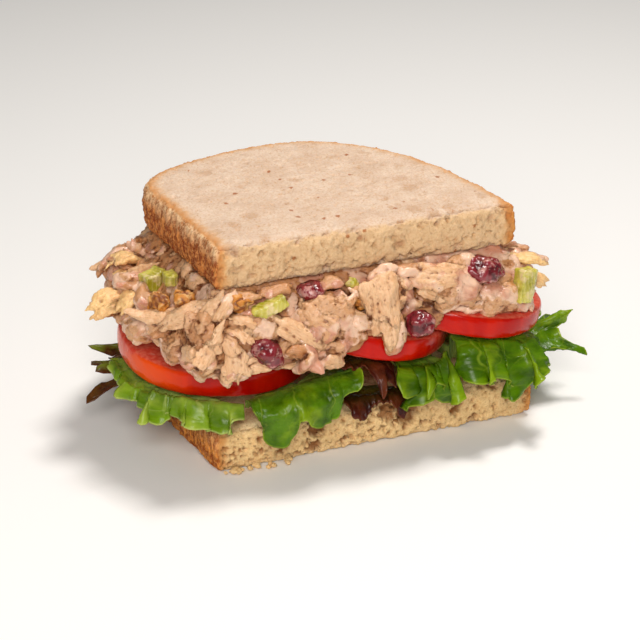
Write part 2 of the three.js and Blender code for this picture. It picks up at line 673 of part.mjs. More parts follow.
const breadRoom = toSolid(breadShapes[1].clone().translate(0, 0, -GAP));
const heap = [
  ...[...chickenPieces, ...rimPieces()].map((piece, i) => toSolid(chicken(piece, i))),
  ...chickenShreds.map((piece, i) => toSolid(shred(piece, i))),
].reduce((whole, piece) => whole.add(piece), toSolid(saladCore()));
const beds = embedded.map(([piece, make]) => grown(piece, make));
const salad = trim(heap, [...tomatoRooms, breadRoom, ...beds]);
add("chicken_salad", fromSolid(salad), material(colours.salad, 0.5));

const besides = [breadRoom, ...tomatoRooms];
for (const [piece, make, colour, roughness] of embedded) {
  const solid = trim(toSolid(make(piece)), besides);
  add(piece.name, fromSolid(solid), material(colour, roughness));
  besides.push(grown(piece, make));
}

export default sandwich;
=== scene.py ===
"""Fine surfaces for half a chicken salad sandwich, modelled over its plain solids.

Lengths in the tables are in millimetres; the scene itself is in metres.
"""

import math
import random

import bpy
import numpy as np
from bpy.props import FloatProperty, FloatVectorProperty, IntProperty, PointerProperty
from mathutils import Matrix, Vector
from mathutils.bvhtree import BVHTree


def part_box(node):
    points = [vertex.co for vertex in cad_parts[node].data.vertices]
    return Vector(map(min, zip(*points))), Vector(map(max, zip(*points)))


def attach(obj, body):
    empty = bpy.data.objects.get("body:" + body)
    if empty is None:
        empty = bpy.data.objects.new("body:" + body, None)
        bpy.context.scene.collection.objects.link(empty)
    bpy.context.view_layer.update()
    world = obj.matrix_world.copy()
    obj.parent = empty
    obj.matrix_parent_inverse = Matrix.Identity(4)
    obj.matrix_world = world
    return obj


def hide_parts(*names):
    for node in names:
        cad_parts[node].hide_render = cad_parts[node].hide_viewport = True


bl_info = {
    "name": "Chicken Salad Sandwich",
    "version": (1, 0, 0),
    "blender": (4, 5, 0),
    "location": "View3D > Sidebar > Sandwich",
    "description": "Models the bread, leaves, tomato and salad of half a sandwich",
    "category": "Add Mesh",
}

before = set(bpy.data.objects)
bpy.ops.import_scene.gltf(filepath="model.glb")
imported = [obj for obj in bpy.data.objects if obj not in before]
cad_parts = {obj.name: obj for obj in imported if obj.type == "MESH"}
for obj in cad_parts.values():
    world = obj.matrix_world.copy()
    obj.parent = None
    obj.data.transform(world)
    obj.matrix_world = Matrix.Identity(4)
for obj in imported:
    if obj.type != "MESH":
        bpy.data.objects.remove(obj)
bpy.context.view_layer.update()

MM = 0.001

# The bottom slice, which the leaves lie on, and the cut that both slices share.
CUT_Y = -38.0
SLICE_TOP = 16.0
SLICE_LEFT = -66.0
SLICE_RIGHT = 60.0

# How far the loose strips of the salad reach along X, and how far they rise above the underside of
# the top slice where they lie beside it.
STRIPS_LEFT = -77.0
STRIPS_RIGHT = 60.0
STRIPS_RISE = 4.0

# Sizes of the smallest folds of the berries, and of the strings and ridges of celery and nuts.
FOLD = 0.34
RIDGE = 0.3

# The middle of the sandwich, which camera and lights aim at, and the lights' places, in metres.
AIM = Vector((-0.00586, 0.002, 0.03159))
KEY_PLACE = Vector((0.22, 0.08, 0.88))
FILL_PLACE = Vector((-0.36, -0.78, 0.58))

# The most triangles that a slice of bread and a mesh of the salad are left with.
SLICE_TRIANGLES = 190000
SALAD_TRIANGLES = 195000

# Each tomato slice: centre of its underside, radius, thickness, and its slope along X and Y.
TOMATOES = {
    "tomato_left": ((-45.6, 1.5, 26.6), 36.0, 10.2, (-0.035, 0.065)),
    "tomato_middle": ((0.9, -12.5, 35.2), 34.0, 9.4, (-0.22, 0.02)),
    "tomato_right": ((37.3, -13.0, 37.6), 34.0, 9.0, (-0.22, 0.02)),
}

# Each leaf lies along a rim line from `start` to `end`, bowed out by `bow`, at two heights. It is
# tucked in by `tuck`; over the first `over` of what hangs out it turns between the angles of
# `fall`, and then runs straight. How far it reaches out is given by place in `edge`, or else by
# `least` and its lobes: place, reach and half width, which is below zero for a pointed lobe.
# It has `waves` waves as high as `wave` from `phase` on, what is tucked in is crumpled by `fold`,
# and `curl`, `frill` and `teeth` shape its free edge. A row leaves out what is as in USUAL_LEAF.
USUAL_LEAF = dict(fold=0, curl=0.7, frill=1.2, teeth=0.6, least=0, lobes=())
LEAVES = {
    "lettuce_front_left": dict(
        start=(-81, 8), end=(-51.5, -42), bow=11, level=(28, 24), tuck=15, fall=(34, 84), over=8,
        waves=4.4, wave=3.0, phase=0.4, curl=1.1, frill=0.8, teeth=0.5,
        edge=(
            (0, 1), (0.05, 3.5), (0.12, 5), (0.18, 4), (0.26, 7), (0.33, 7), (0.38, 4.5), (0.45, 9),
            (0.54, 9.5), (0.6, 5.5), (0.66, 5), (0.74, 7.5), (0.85, 8.5), (0.93, 7.5), (0.97, 5.5),
            (1, 2),
        ),
    ),
    "lettuce_front": dict(
        start=(-49.5, -42), end=(-10, -42.5), bow=0.6, level=(26, 31.5), tuck=20, fall=(-34, 92), over=11,
        waves=1.6, wave=1.5, phase=3.6, curl=0.5, frill=0.5, teeth=0.06,
        edge=(
            (0, 4), (0.03, 9), (0.06, 14), (0.1, 18), (0.15, 20.6), (0.24, 21.4), (0.29, 20.6),
            (0.34, 17.6), (0.39, 12.6), (0.44, 12.4), (0.49, 15.8), (0.55, 18.4), (0.66, 18.4),
            (0.76, 17.4), (0.785, 14), (0.8, 10), (0.84, 9), (0.9, 9.6), (0.95, 8), (1, 3),
        ),
    ),
    "lettuce_front_right": dict(
        start=(4.6, -42), end=(24.2, -42), bow=0.4, level=(33, 31), tuck=14, fall=(-8, 88), over=12,
        waves=2.2, wave=3.2, phase=1.2, curl=1.3, frill=1.6, teeth=0.7,
        edge=(
            (0, 5), (0.06, 12), (0.14, 15), (0.22, 19), (0.29, 21.4), (0.35, 18), (0.41, 11),
            (0.47, 13.5), (0.53, 14), (0.58, 10.5), (0.64, 17.5), (0.68, 19), (0.73, 12),
            (0.79, 20), (0.82, 21.4), (0.87, 14.5), (0.93, 18), (0.97, 14), (1, 6),
        ),
    ),
    "lettuce_right": dict(
        start=(26.2, -42), end=(61.5, -37), bow=1.6, level=(38, 31), tuck=14, fall=(0, 74), over=15,
        waves=2.2, wave=3.4, phase=4.4, curl=1.0, frill=1.5, teeth=0.5,
        edge=(
            (0, 9), (0.03, 16), (0.1, 18), (0.18, 20), (0.25, 17), (0.31, 16.6), (0.38, 19.5), (0.46, 23),
            (0.53, 25.6), (0.6, 22), (0.66, 17), (0.72, 21.5), (0.78, 19), (0.84, 14), (0.9, 17),
            (0.96, 13), (1, 5),
        ),
    ),
    "lettuce_right_end": dict(
        start=(64, -31), end=(65, 1), bow=2, level=(18.5, 20), tuck=13, fall=(-24, -4), over=14,
        waves=1.6, wave=4.2, phase=3.1, least=13,
        lobes=((0.16, 22, 0.1), (0.46, 20, 0.12), (0.7, 19, 0.12), (0.9, 17, 0.1)),
    ),
    "lettuce_right_back": dict(
        start=(64, 4), end=(40, 35), bow=4, level=(20.2, 20.4), tuck=11, fall=(-4, 40), over=12,
        waves=3.2, wave=2.6, phase=0.3, least=9,
        lobes=((0.15, 14, 0.13), (0.5, 16, 0.16), (0.84, 14, 0.14)),
    ),
    "lettuce_back": dict(
        start=(37, 38), end=(-16, 49.8), bow=6, level=(20.4, 19.4), tuck=12, fall=(0, 52), over=12,
        waves=4.2, wave=2.6, phase=1.9, least=9,
        lobes=((0.12, 13, 0.1), (0.36, 15, 0.12), (0.62, 14, 0.12), (0.86, 13, 0.12)),
    ),
    "lettuce_back_left": dict(
        start=(-21, 49), end=(-61, 36), bow=7, level=(19.2, 19.2), tuck=11, fall=(4, 50), over=12,
        waves=3.2, wave=2.4, phase=3.3, least=9,
        lobes=((0.16, 12, 0.12), (0.46, 14, 0.14), (0.78, 14, 0.14)),
    ),
    "lettuce_bed_right": dict(
        start=(47, -26), end=(40, 14), bow=2, level=(25.5, 25.5), tuck=42, fall=(0, 30), over=6,
        waves=1.5, wave=1.5, phase=0.5, fold=6.5, curl=0.4, frill=0.3, teeth=0.2, least=2,
    ),
    "lettuce_bed_left": dict(
        start=(-52, 24), end=(-50, -22), bow=2, level=(21.2, 21.2), tuck=46, fall=(0, 30), over=6,
        waves=1.5, wave=1, phase=2.5, fold=3, curl=0.4, frill=0.3, teeth=0.2, least=2,
    ),
    "lettuce_red_low": dict(
        start=(-14, -40), end=(10, -40.5), bow=0.4, level=(18.6, 18.6), tuck=12, fall=(0, 82), over=6,
        waves=1.7, wave=1, phase=0.4, curl=0.5, frill=0.5, teeth=0.25, least=3,
        lobes=((0.22, 7, 0.16), (0.84, 9, 0.1)),
    ),
    "lettuce_red_high": dict(
        start=(-17, -41), end=(2.4, -41.5), bow=0.1, level=(34, 32), tuck=15, fall=(-18, 74), over=10,
        waves=1.2, wave=1.2, phase=2.6, curl=0.5, frill=0.5, teeth=0.25, least=3,
        lobes=((0.7, 14, 0.12), (0.92, 11, 0.1)),
    ),
    "lettuce_red_left": dict(
        start=(-67, 33), end=(-71, 4), bow=3, level=(18.4, 19), tuck=11, fall=(0, 14), over=14,
        waves=2.2, wave=2.2, phase=0.9, curl=0.6, teeth=1.6, least=6,
        lobes=((0.12, 15, -0.13), (0.34, 17, -0.14), (0.57, 14, -0.11), (0.82, 22, -0.16)),
    ),
}

# Pieces of chicken that stand out: place, half sizes, turn about Z, and tilt of the grain.
CHUNKS = (
    ((-1, -43, 59), (7, 5.5, 8.5), 10, 78),
    ((24, -42, 57), (11, 6, 7), 5, -16),
    ((44, -39, 50), (9, 6.5, 6), 12, 0),
    ((-21, -43, 56), (9, 6.5, 7.5), -8, 20),
    ((-18, -45, 51), (6, 4.5, 4), 0, -18),
    ((-31, -46, 50), (10, 5, 5), -6, 24),
    ((-24, -49, 43.5), (8, 3.6, 3.6), 0, 24),
    ((-46, -42, 57), (9, 5.5, 5), -10, -25),
    ((-62, -35, 55), (9, 6, 7), 40, -18),
    ((-67, -27, 47), (9.5, 7, 6), 48, 0),
    ((-53, -41.5, 43), (6.5, 4, 5), 0, 70),
    ((-73, 2, 54), (7, 10, 6), 10, 0),
    ((-72, 20, 53), (6.5, 10, 8), 0, 0),
    ((-76, -10, 46.5), (7, 6.5, 5), 25, -10),
    ((53, -32, 56), (7, 6.5, 6), 30, 0),
)

# Torn plates of meat on the sides: place, way its length runs, way it faces, half length, width
# and thickness, narrowing towards its end, depth and number of its torn fingers, bend, and tone,
# whose low end is partly painted shade.
TORN = (
    ((-3.0, -48.0, 56.8), (0.12, -0.1, -1), (-0.2, -1, 0.1), (12, 7.4, 3), 0.66, 0.06, 1, 0.05, 0.98),
    ((-5.6, -48.6, 52), (-0.2, -0.1, -1), (-0.3, -1, 0.1), (4.6, 2.4, 1.6), 0.4, 0.1, 1, 0.1, 1.0),
    ((-1.4, -50.8, 48.2), (0.1, -0.05, -1), (-0.1, -1, 0.1), (5.6, 3.9, 1.8), 0.5, 0.16, 2, 0.1, 1.0),
    ((-9.6, -44.5, 62.5), (-0.9, 0, 0.5), (0, -1, 0.1), (3.6, 2.4, 1.6), 0.4, 0.3, 2, 0.2, 0.6),
    ((20, -43.6, 63), (1, 0, -0.22), (0.1, -1, 0.35), (9.8, 5.6, 3.4), 0.25, 0.25, 5, 0.3, 0.8),
    ((14.6, -46.4, 58.6), (0.85, -0.1, -0.5), (0, -1, 0.5), (4.8, 1.9, 1.2), 0.2, 0.3, 2, 0.3, 0.9),
    ((29, -44.4, 58), (0.9, 0, -0.4), (0.1, -1, 0.2), (7, 4.6, 3), 0.2, 0.2, 3, 0.2, 0.45),
    ((43, -41, 54), (1, 0.15, 0.05), (0.2, -1, 0.2), (7.5, 5, 3), 0.2, 0.15, 3, 0.1, 0.4),
    ((-24.6, -45.4, 54.8), (0.72, -0.05, -0.6), (0, -1, 0.25), (9.4, 7.6, 4.6), 0.1, 0.16, 4, 0.3, 0.55),
    ((-31.8, -48.2, 51), (0.76, -0.1, -0.64), (-0.2, -1, 0.45), (12.6, 4, 1.9), 0.3, 0.38, 2, 0.15, 0.85),
    ((-11, -46.6, 53), (0.86, 0.1, -0.42), (0, -1, 0.3), (5.6, 3.2, 2.2), 0.35, 0.4, 3, 0.2, 0.7),
    ((-16.4, -46.6, 58.6), (0.7, 0, 0.7), (0, -1, 0.2), (5, 2, 1.4), 0.2, 0.4, 3, 0.3, 0.5),
    ((-50.2, -45, 58.6), (0.9, 0, -0.4), (0, -1, 0.5), (5.6, 2, 1.3), 0.2, 0.4, 3, 0.4, 0.9),
    ((-47.6, -45.6, 55.6), (0.95, 0, -0.3), (0, -1, 0.4), (4.6, 1.7, 1.2), 0.2, 0.4, 2, -0.3, 0.85),
    ((-40.4, -44.6, 57.4), (0.8, 0, -0.6), (0, -1, 0.3), (5.4, 2.3, 1.4), 0.2, 0.35, 3, 0.3, 0.7),
    ((-55.6, -46.4, 44.8), (0.04, -0.16, -1), (-0.3, -1, 0.1), (5.6, 4.2, 1.3), -0.2, 0.7, 3, 0.2, 0.95),
    ((-56.4, -44.8, 51), (0.3, -0.2, -0.9), (-0.2, -1, 0.3), (5, 3, 1.3), 0.1, 0.4, 3, 0.3, 0.8),
    ((-47.4, -47, 42.6), (1, -0.05, -0.16), (-0.1, -1, 0.5), (4.4, 2.1, 1.1), 0.2, 0.25, 3, 0.1, 0.9),
    ((-50.8, -47, 45.6), (0.95, 0, 0.25), (0, -1, 0.4), (3.6, 1.1, 0.8), 0.2, 0.2, 2, 0.2, 0.85),
    ((-61.6, -38.6, 61), (-0.62, 0.14, -0.72), (-0.3, -1, 0.3), (9.4, 3.2, 1.6), 0.3, 0.45, 3, 0.3, 0.85),
    ((-57.6, -41, 62.4), (-0.5, 0.1, -0.85), (-0.2, -1, 0.2), (7, 2.4, 1.5), 0.2, 0.5, 3, 0.3, 0.75),
    ((-67.6, -32.4, 59), (-0.82, 0.4, -0.42), (-0.4, -0.8, 0.5), (10.4, 3.7, 1.8), 0.25, 0.35, 3, 0.25, 0.9),
    ((-78.4, -20.4, 55.8), (-0.82, 0.5, 0.1), (-0.3, -0.4, 0.8), (7, 2.9, 1.3), 0.65, 0.2, 2, -0.35, 0.95),
    ((-72.6, -23, 52.4), (-0.7, 0.5, -0.45), (-0.5, -0.8, 0.2), (7, 4.6, 2.2), 0.2, 0.3, 4, 0.2, 0.6),
    ((-75.4, -12, 57), (-0.4, 0.7, 0.4), (-0.8, -0.5, 0.3), (4.6, 3.8, 3), 0, 0.1, 2, 0.1, 0.4),
    ((-63.6, -31.6, 53.8), (0.9, -0.2, 0.45), (-0.4, -1, 0.2), (9, 3.8, 2.2), 0.2, 0.4, 4, 0.2, 0.65),
    ((-66, -30, 47.6), (0.92, -0.3, 0.15), (-0.4, -1, 0.2), (8.6, 5, 3.4), 0.2, 0.25, 4, 0.1, 0.3),
    ((-60.4, -35, 50.4), (0.5, -0.2, -0.85), (-0.3, -1, 0.3), (6, 3.6, 2), 0.3, 0.5, 4, 0.3, 0.7),
    ((-82.6, 2, 52), (-1, -0.2, -0.08), (-0.25, -0.5, 0.85), (9.4, 4.9, 1.5), -0.15, 0.42, 2, 0.25, 1.3),
    ((-77, -2.4, 55), (-0.8, -0.4, -0.3), (-0.3, -0.4, 0.85), (6.6, 3.4, 1.5), 0.1, 0.35, 3, 0.3, 1.2),
    ((-73.4, 17, 60.4), (-0.8, -0.5, 0.35), (-0.7, -0.4, 0.5), (7.6, 6, 1.7), 0.1, 0.32, 4, 0.4, 1.2),
    ((-76.4, 10.4, 57), (-0.8, -0.6, -0.1), (-0.6, -0.5, 0.6), (5, 3.6, 1.4), 0.2, 0.35, 3, 0.4, 1.15),
    ((-67.6, 20.6, 60.6), (-0.5, -0.3, 0.8), (-0.8, -0.6, 0.2), (5.6, 4, 1.8), 0.1, 0.35, 3, 0.3, 0.6),
    ((-71.4, 6, 60.2), (0.6, -0.6, 0.5), (-0.8, -0.5, 0.3), (7, 2.2, 1.4), 0.2, 0.25, 2, 0.2, 0.9),
    ((56.6, -35.6, 60.8), (0.95, -0.25, -0.18), (0.1, -0.7, 0.7), (9, 2.2, 1.3), -0.1, 0.08, 1, 0.2, 1.25),
    ((60.6, -33.6, 51.6), (0.9, -0.3, -0.3), (0.3, -0.9, 0.3), (5.4, 3.2, 1.2), 0, 0.5, 3, 0.3, 1.15),
    ((54, -34, 50.4), (0.9, -0.3, -0.1), (0.2, -1, 0.2), (7, 4, 3), 0.1, 0.2, 3, 0.1, 0.35),
    ((-50, -40.6, 66.4), (1, 0.1, -0.1), (0, -0.4, 1), (5, 2.6, 1.5), 0.1, 0.3, 2, 0.1, 0.5),
    ((-39, -40.8, 66.6), (1, 0, 0.05), (0, -0.4, 1), (5.4, 2.6, 1.5), 0.1, 0.3, 2, 0.1, 0.35),
    ((-19, -41.4, 66.4), (1, 0, -0.05), (0, -0.5, 1), (4, 2.4, 1.6), 0.1, 0.3, 2, 0.1, 0.45),
    ((9, -41.4, 66.4), (1, 0, 0.05), (0, -0.5, 1), (5, 2.6, 1.6), 0.1, 0.3, 2, 0.1, 0.4),
    ((30, -40.4, 66.4), (1, 0, -0.05), (0, -0.5, 1), (5.4, 2.4, 1.5), 0.1, 0.3, 2, 0.1, 0.5),
)

# Loose strips over the heap: how many share the number in the settings, the ranges of their half
# length and of their width and thickness as shares of it, and their seed.
STRIPS = {
    "broad": (4, (4.6, 8.5), (0.4, 0.7), (0.15, 0.26), 1000),
    "middle": (2, (3.4, 6.4), (0.4, 0.75), (0.18, 0.32), 2000),
    "small": (8, (1.8, 3.2), (0.35, 0.6), (0.3, 0.5), 3000),
}

BERRIES = (
    "cranberry_upper_right", "cranberry_middle", "cranberry_lower_left", "cranberry_under_bread",
    "cranberry_right_side", "cranberry_back", "cranberry_back_right",
)
CELERY = (
    "celery_front_left", "celery_left", "celery_right", "celery_low_left", "celery_middle",
    "celery_left_edge", "celery_back", "celery_back_left", "celery_right_side",
)
WALNUTS = ("walnut_left", "walnut_corner", "walnut_under_bread", "walnut_middle", "walnut_back")


def tint(code):
    """A colour written as six hex digits, as the linear colour that materials take."""
    parts = [int(code[i : i + 2], 16) / 255 for i in (0, 2, 4)]
    linear = [p / 12.92 if p <= 0.04045 else ((p + 0.055) / 1.055) ** 2.4 for p in parts]
    return (*linear, 1.0)


def tints(**codes):
    return {name: tint(code) for name, code in codes.items()}


# ------------------------------------------------------------------ node trees


class Value:
    """One output of a node tree, which sums and products can be made from."""

    def __init__(self, nodes, socket):
        self.nodes = nodes
        self.socket = socket

    def maths(self, operation, *others):
        inputs = dict(enumerate((self, *others)))
        return self.nodes.make("ShaderNodeMath", {"operation": operation}, inputs)

    def __add__(self, other):
        return self.maths("ADD", other)

    __radd__ = __add__

    def __sub__(self, other):
        return self.maths("SUBTRACT", other)

    def __rsub__(self, other):
        return self.nodes.make("ShaderNodeMath", {"operation": "SUBTRACT"}, {0: other, 1: self})

    def __mul__(self, other):
        return self.maths("MULTIPLY", other)

    __rmul__ = __mul__

    def __truediv__(self, other):
        return self.maths("DIVIDE", other)

    def size(self):
        return self.maths("ABSOLUTE")

    def sine(self):
        return self.maths("SINE")

    def least(self, other):
        return self.maths("MINIMUM", other)

    def rising(self, low, high):
        """0 below low, 1 above high, and smooth between."""
        settings = {"interpolation_type": "SMOOTHSTEP"}
        return self.nodes.make("ShaderNodeMapRange", settings, {0: self, 1: low, 2: high})

    def falling(self, low, high):
        return 1 - self.rising(low, high)


class Nodes:
    """Adds nodes to one tree."""

    def __init__(self, tree):
        self.tree = tree

    def make(self, kind, settings=None, inputs=None, out=0):
        """Adds a node with its settings and inputs, and gives one of its outputs."""
        node = self.tree.nodes.new(kind)
        for name, value in (settings or {}).items():
            setattr(node, name, value)
        for name, value in (inputs or {}).items():
            if isinstance(value, Value):
                self.tree.links.new(value.socket, node.inputs[name])
            else:
                node.inputs[name].default_value = value
        return Value(self, node.outputs[out])

    def vector(self, operation, first, second=None, out=0):
        inputs = {0: first} if second is None else {0: first, 1: second}
        return self.make("ShaderNodeVectorMath", {"operation": operation}, inputs, out)

    def scaled(self, vector, factor):
        return self.make("ShaderNodeVectorMath", {"operation": "SCALE"}, {0: vector, "Scale": factor})

    def moved(self, vector, *by):
        return self.vector("ADD", vector, by)

    def stretched(self, vector, *by):
        return self.vector("MULTIPLY", vector, by)

    def dot(self, first, second):
        return self.vector("DOT_PRODUCT", first, second, "Value")

    def parts(self, vector):
        node = self.make("ShaderNodeSeparateXYZ", None, {0: vector}).socket.node
        return tuple(Value(self, socket) for socket in node.outputs)

    def joined(self, x, y, z):
        return self.make("ShaderNodeCombineXYZ", None, {0: x, 1: y, 2: z})

    def noise(self, place, size, detail=2.0, rough=0.5, out=0):
        """Noise between 0 and 1 with lumps of about the given size in the units of place."""
        inputs = {"Vector": place, "Scale": 1 / size, "Detail": detail, "Roughness": rough}
        return self.make("ShaderNodeTexNoise", None, inputs, out)

    def warped(self, place, size, detail, by):
        """The place shifted by noise of the given size, by up to so many millimetres."""
        return self.vector("ADD", place, self.scaled(self.noise(place, size, detail, out="Color"), by))

    def cells(self, place, size, feature="F1", out="Distance"):
        """Distance to the nearest of points scattered about the given size apart, as a share of it."""
        inputs = {"Vector": place, "Scale": 1 / size}
        return self.make("ShaderNodeTexVoronoi", {"feature": feature}, inputs, out)

    def mix(self, factor, first, second):
        """A colour between two colours."""
        return self.make("ShaderNodeMix", {"data_type": "RGBA"}, {0: factor, 6: first, 7: second}, 2)

    def object_place(self):
        """The place on the piece, in millimetres."""
        return self.scaled(self.make("ShaderNodeTexCoord", out="Object"), 1000)

    def stored(self, name, out="Fac"):
        """A value that carve has kept on the piece's points."""
        return self.make("ShaderNodeAttribute", {"attribute_name": name}, None, out)

    def bump(self, height, depth, strength=1.0):
        """A normal from a height between 0 and 1 that stands for depth millimetres."""
        inputs = {"Height": height, "Distance": depth * MM, "Strength": strength}
        return self.make("ShaderNodeBump", None, inputs)

    def surface(self, colour, rough, normal=None, shine=0.5, under=None, film=None):
        """A surface. Light spreads under it with a weight, a reach in millimetres, and the shares of
        red, green and blue; a wet film over it has a weight and a roughness."""
        inputs = {"Base Color": colour, "Roughness": rough, "Specular IOR Level": shine}
        if normal:
            inputs["Normal"] = normal
        if under:
            inputs["Subsurface Weight"], reach, inputs["Subsurface Radius"] = under
            inputs["Subsurface Scale"] = reach * MM
        if film:
            inputs["Coat Weight"], inputs["Coat Roughness"] = film
        return self.make("ShaderNodeBsdfPrincipled", None, inputs)


def new_finish(name, build, *choices):
    """A material whose surface build(nodes, *choices) gives."""
    material = bpy.data.materials.new(name)
    material.use_nodes = True
    material.node_tree.nodes.clear()
    nodes = Nodes(material.node_tree)
    output = material.node_tree.nodes.new("ShaderNodeOutputMaterial")
    material.node_tree.links.new(build(nodes, *choices).socket, output.inputs["Surface"])
    return material


def carve(piece, build, *choices):
    """Runs build(nodes, geometry, *choices) as geometry nodes over a piece, and applies the result."""
    group = bpy.data.node_groups.new("carving", "GeometryNodeTree")
    group.interface.new_socket("Geometry", in_out="INPUT", socket_type="NodeSocketGeometry")
    group.interface.new_socket("Geometry", in_out="OUTPUT", socket_type="NodeSocketGeometry")
    nodes = Nodes(group)
    result = build(nodes, nodes.make("NodeGroupInput"), *choices)
    output = group.nodes.new("NodeGroupOutput")
    group.links.new(result.socket, output.inputs[0])
    modify(piece, "NODES", node_group=group)
    bpy.data.node_groups.remove(group)


def surface_place(nodes):
    """The place of each point, in millimetres, for carve."""
    return nodes.scaled(nodes.make("GeometryNodeInputPosition"), 1000)


def pushed(nodes, geometry, height):
    """Moves each point out along its normal by height millimetres."""
    offset = nodes.scaled(nodes.make("GeometryNodeInputNormal"), height * MM)
    return nodes.make("GeometryNodeSetPosition", None, {"Geometry": geometry, "Offset": offset})


def kept(nodes, geometry, name, value, kind="FLOAT"):
    """Stores a value on the points, for the piece's material to read."""
    inputs = {"Geometry": geometry, "Name": name, "Value": value}
    settings = {"data_type": kind, "domain": "POINT"}
    return nodes.make("GeometryNodeStoreNamedAttribute", settings, inputs)


def hollowness(nodes, reach):
    """How far each point lies below the surface round it, in millimetres."""
    place = surface_place(nodes)
    settings = {"data_type": "FLOAT_VECTOR"}
    around = nodes.make("GeometryNodeBlurAttribute", settings, {"Value": place, "Iterations": reach})
    return nodes.dot(nodes.vector("SUBTRACT", around, place), nodes.make("GeometryNodeInputNormal"))


# ------------------------------------------------------------------ modelling


def activate(piece):
    bpy.ops.object.select_all(action="DESELECT")
    piece.select_set(True)
    bpy.context.view_layer.objects.active = piece


def modify(piece, kind, **settings):
    activate(piece)
    bpy.ops.object.modifier_add(type=kind)
    modifier = piece.modifiers[-1]
    for name, value in settings.items():
        setattr(modifier, name, value)
    bpy.ops.object.modifier_apply(modifier=modifier.name)


def in_edit_mode(piece, *steps):
    """Runs (operator, arguments) steps in edit mode on the whole mesh."""
    activate(piece)
    bpy.ops.object.mode_set(mode="EDIT")
    bpy.ops.mesh.select_all(action="SELECT")
    for operator, arguments in steps:
        operator(**arguments)
    bpy.ops.object.mode_set(mode="OBJECT")


def copy_of(node, name):
    """A copy of a plain solid, with its doubled points merged."""
    piece = bpy.data.objects.new(name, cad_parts[node].data.copy())
    bpy.context.scene.collection.objects.link(piece)
    piece.data.materials.clear()
    in_edit_mode(piece, (bpy.ops.mesh.remove_doubles, {"threshold": 0.01 * MM}))
    return piece


def double_of(piece):
    double = bpy.data.objects.new(piece.name, piece.data.copy())
    bpy.context.scene.collection.objects.link(double)
    return double


def join(name, pieces):
    """Joins pieces into the first one."""
    bpy.ops.object.select_all(action="DESELECT")
    for piece in pieces:
        piece.select_set(True)
    bpy.context.view_layer.objects.active = pieces[0]
    if len(pieces) > 1:
        bpy.ops.object.join()
    whole = bpy.context.view_layer.objects.active
    whole.name = name
    return whole


def drop_others(piece, keep):
    """Deletes the faces of a piece that keep(face) doesn't choose."""
    activate(piece)
    bpy.context.tool_settings.mesh_select_mode = (False, False, True)
    for face in piece.data.polygons:
        face.select = not keep(face)
    bpy.ops.object.mode_set(mode="EDIT")
    bpy.ops.mesh.delete(type="FACE")
    bpy.ops.object.mode_set(mode="OBJECT")


def points_of(piece):
    flat = np.empty(3 * len(piece.data.vertices))
    piece.data.vertices.foreach_get("co", flat)
    return flat.reshape(-1, 3)


def set_points(piece, points):
    piece.data.vertices.foreach_set("co", np.ascontiguousarray(points, float).ravel())
    piece.data.update()


def store_vectors(piece, name, vectors):
    attribute = piece.data.attributes.new(name, "FLOAT_VECTOR", "POINT")
    attribute.data.foreach_set("vector", np.ascontiguousarray(vectors, float).ravel())


def store_numbers(piece, name, numbers):
    attribute = piece.data.attributes.new(name, "FLOAT", "POINT")
    attribute.data.foreach_set("value", np.ascontiguousarray(numbers, float))


def relief(x, y, z, size, seed):
    """Smooth uneven relief between -1 and 1, with lumps of about the given size."""
    a = np.sin(x / size + 1.7 * seed + np.sin(y / size * 1.3 + seed))
    b = np.sin(y / size * 1.1 - 2.3 * seed + np.sin(z / size * 1.7))
    c = np.sin(z / size * 1.3 + seed + np.sin(x / size * 0.9 - seed))
    return (a + b + c) / 3


def hand_over(piece, nodes, finish):
    """Gives a finished piece its material and its part in the frame."""
    if not piece.data.polygons:
        raise RuntimeError(f"{piece.name} came out empty")
    piece.data.materials.clear()
    piece.data.materials.append(finish)
    activate(piece)
    bpy.ops.object.shade_smooth()
    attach(piece, "root")
    if nodes:
        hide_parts(*nodes)


def thin_to(piece, most):
    """Thins a mesh to at most the given number of triangles."""
    piece.data.calc_loop_triangles()
    count = len(piece.data.loop_triangles)
    if count > most:
        modify(piece, "DECIMATE", ratio=most / count, use_collapse_triangulate=True)


# ------------------------------------------------------------------ bread


def crust_skin(slice_piece):
    """The browned side of a slice alone, which crust thickness is measured from."""
    skin = bpy.data.objects.new("crust_skin", slice_piece.data.copy())
    bpy.context.scene.collection.objects.link(skin)
    cut = (CUT_Y + 2.2) * MM
    drop_others(skin, lambda f: abs(f.normal.z) < 0.62 and not (f.normal.y < -0.7 and f.center.y < cut))
    return skin


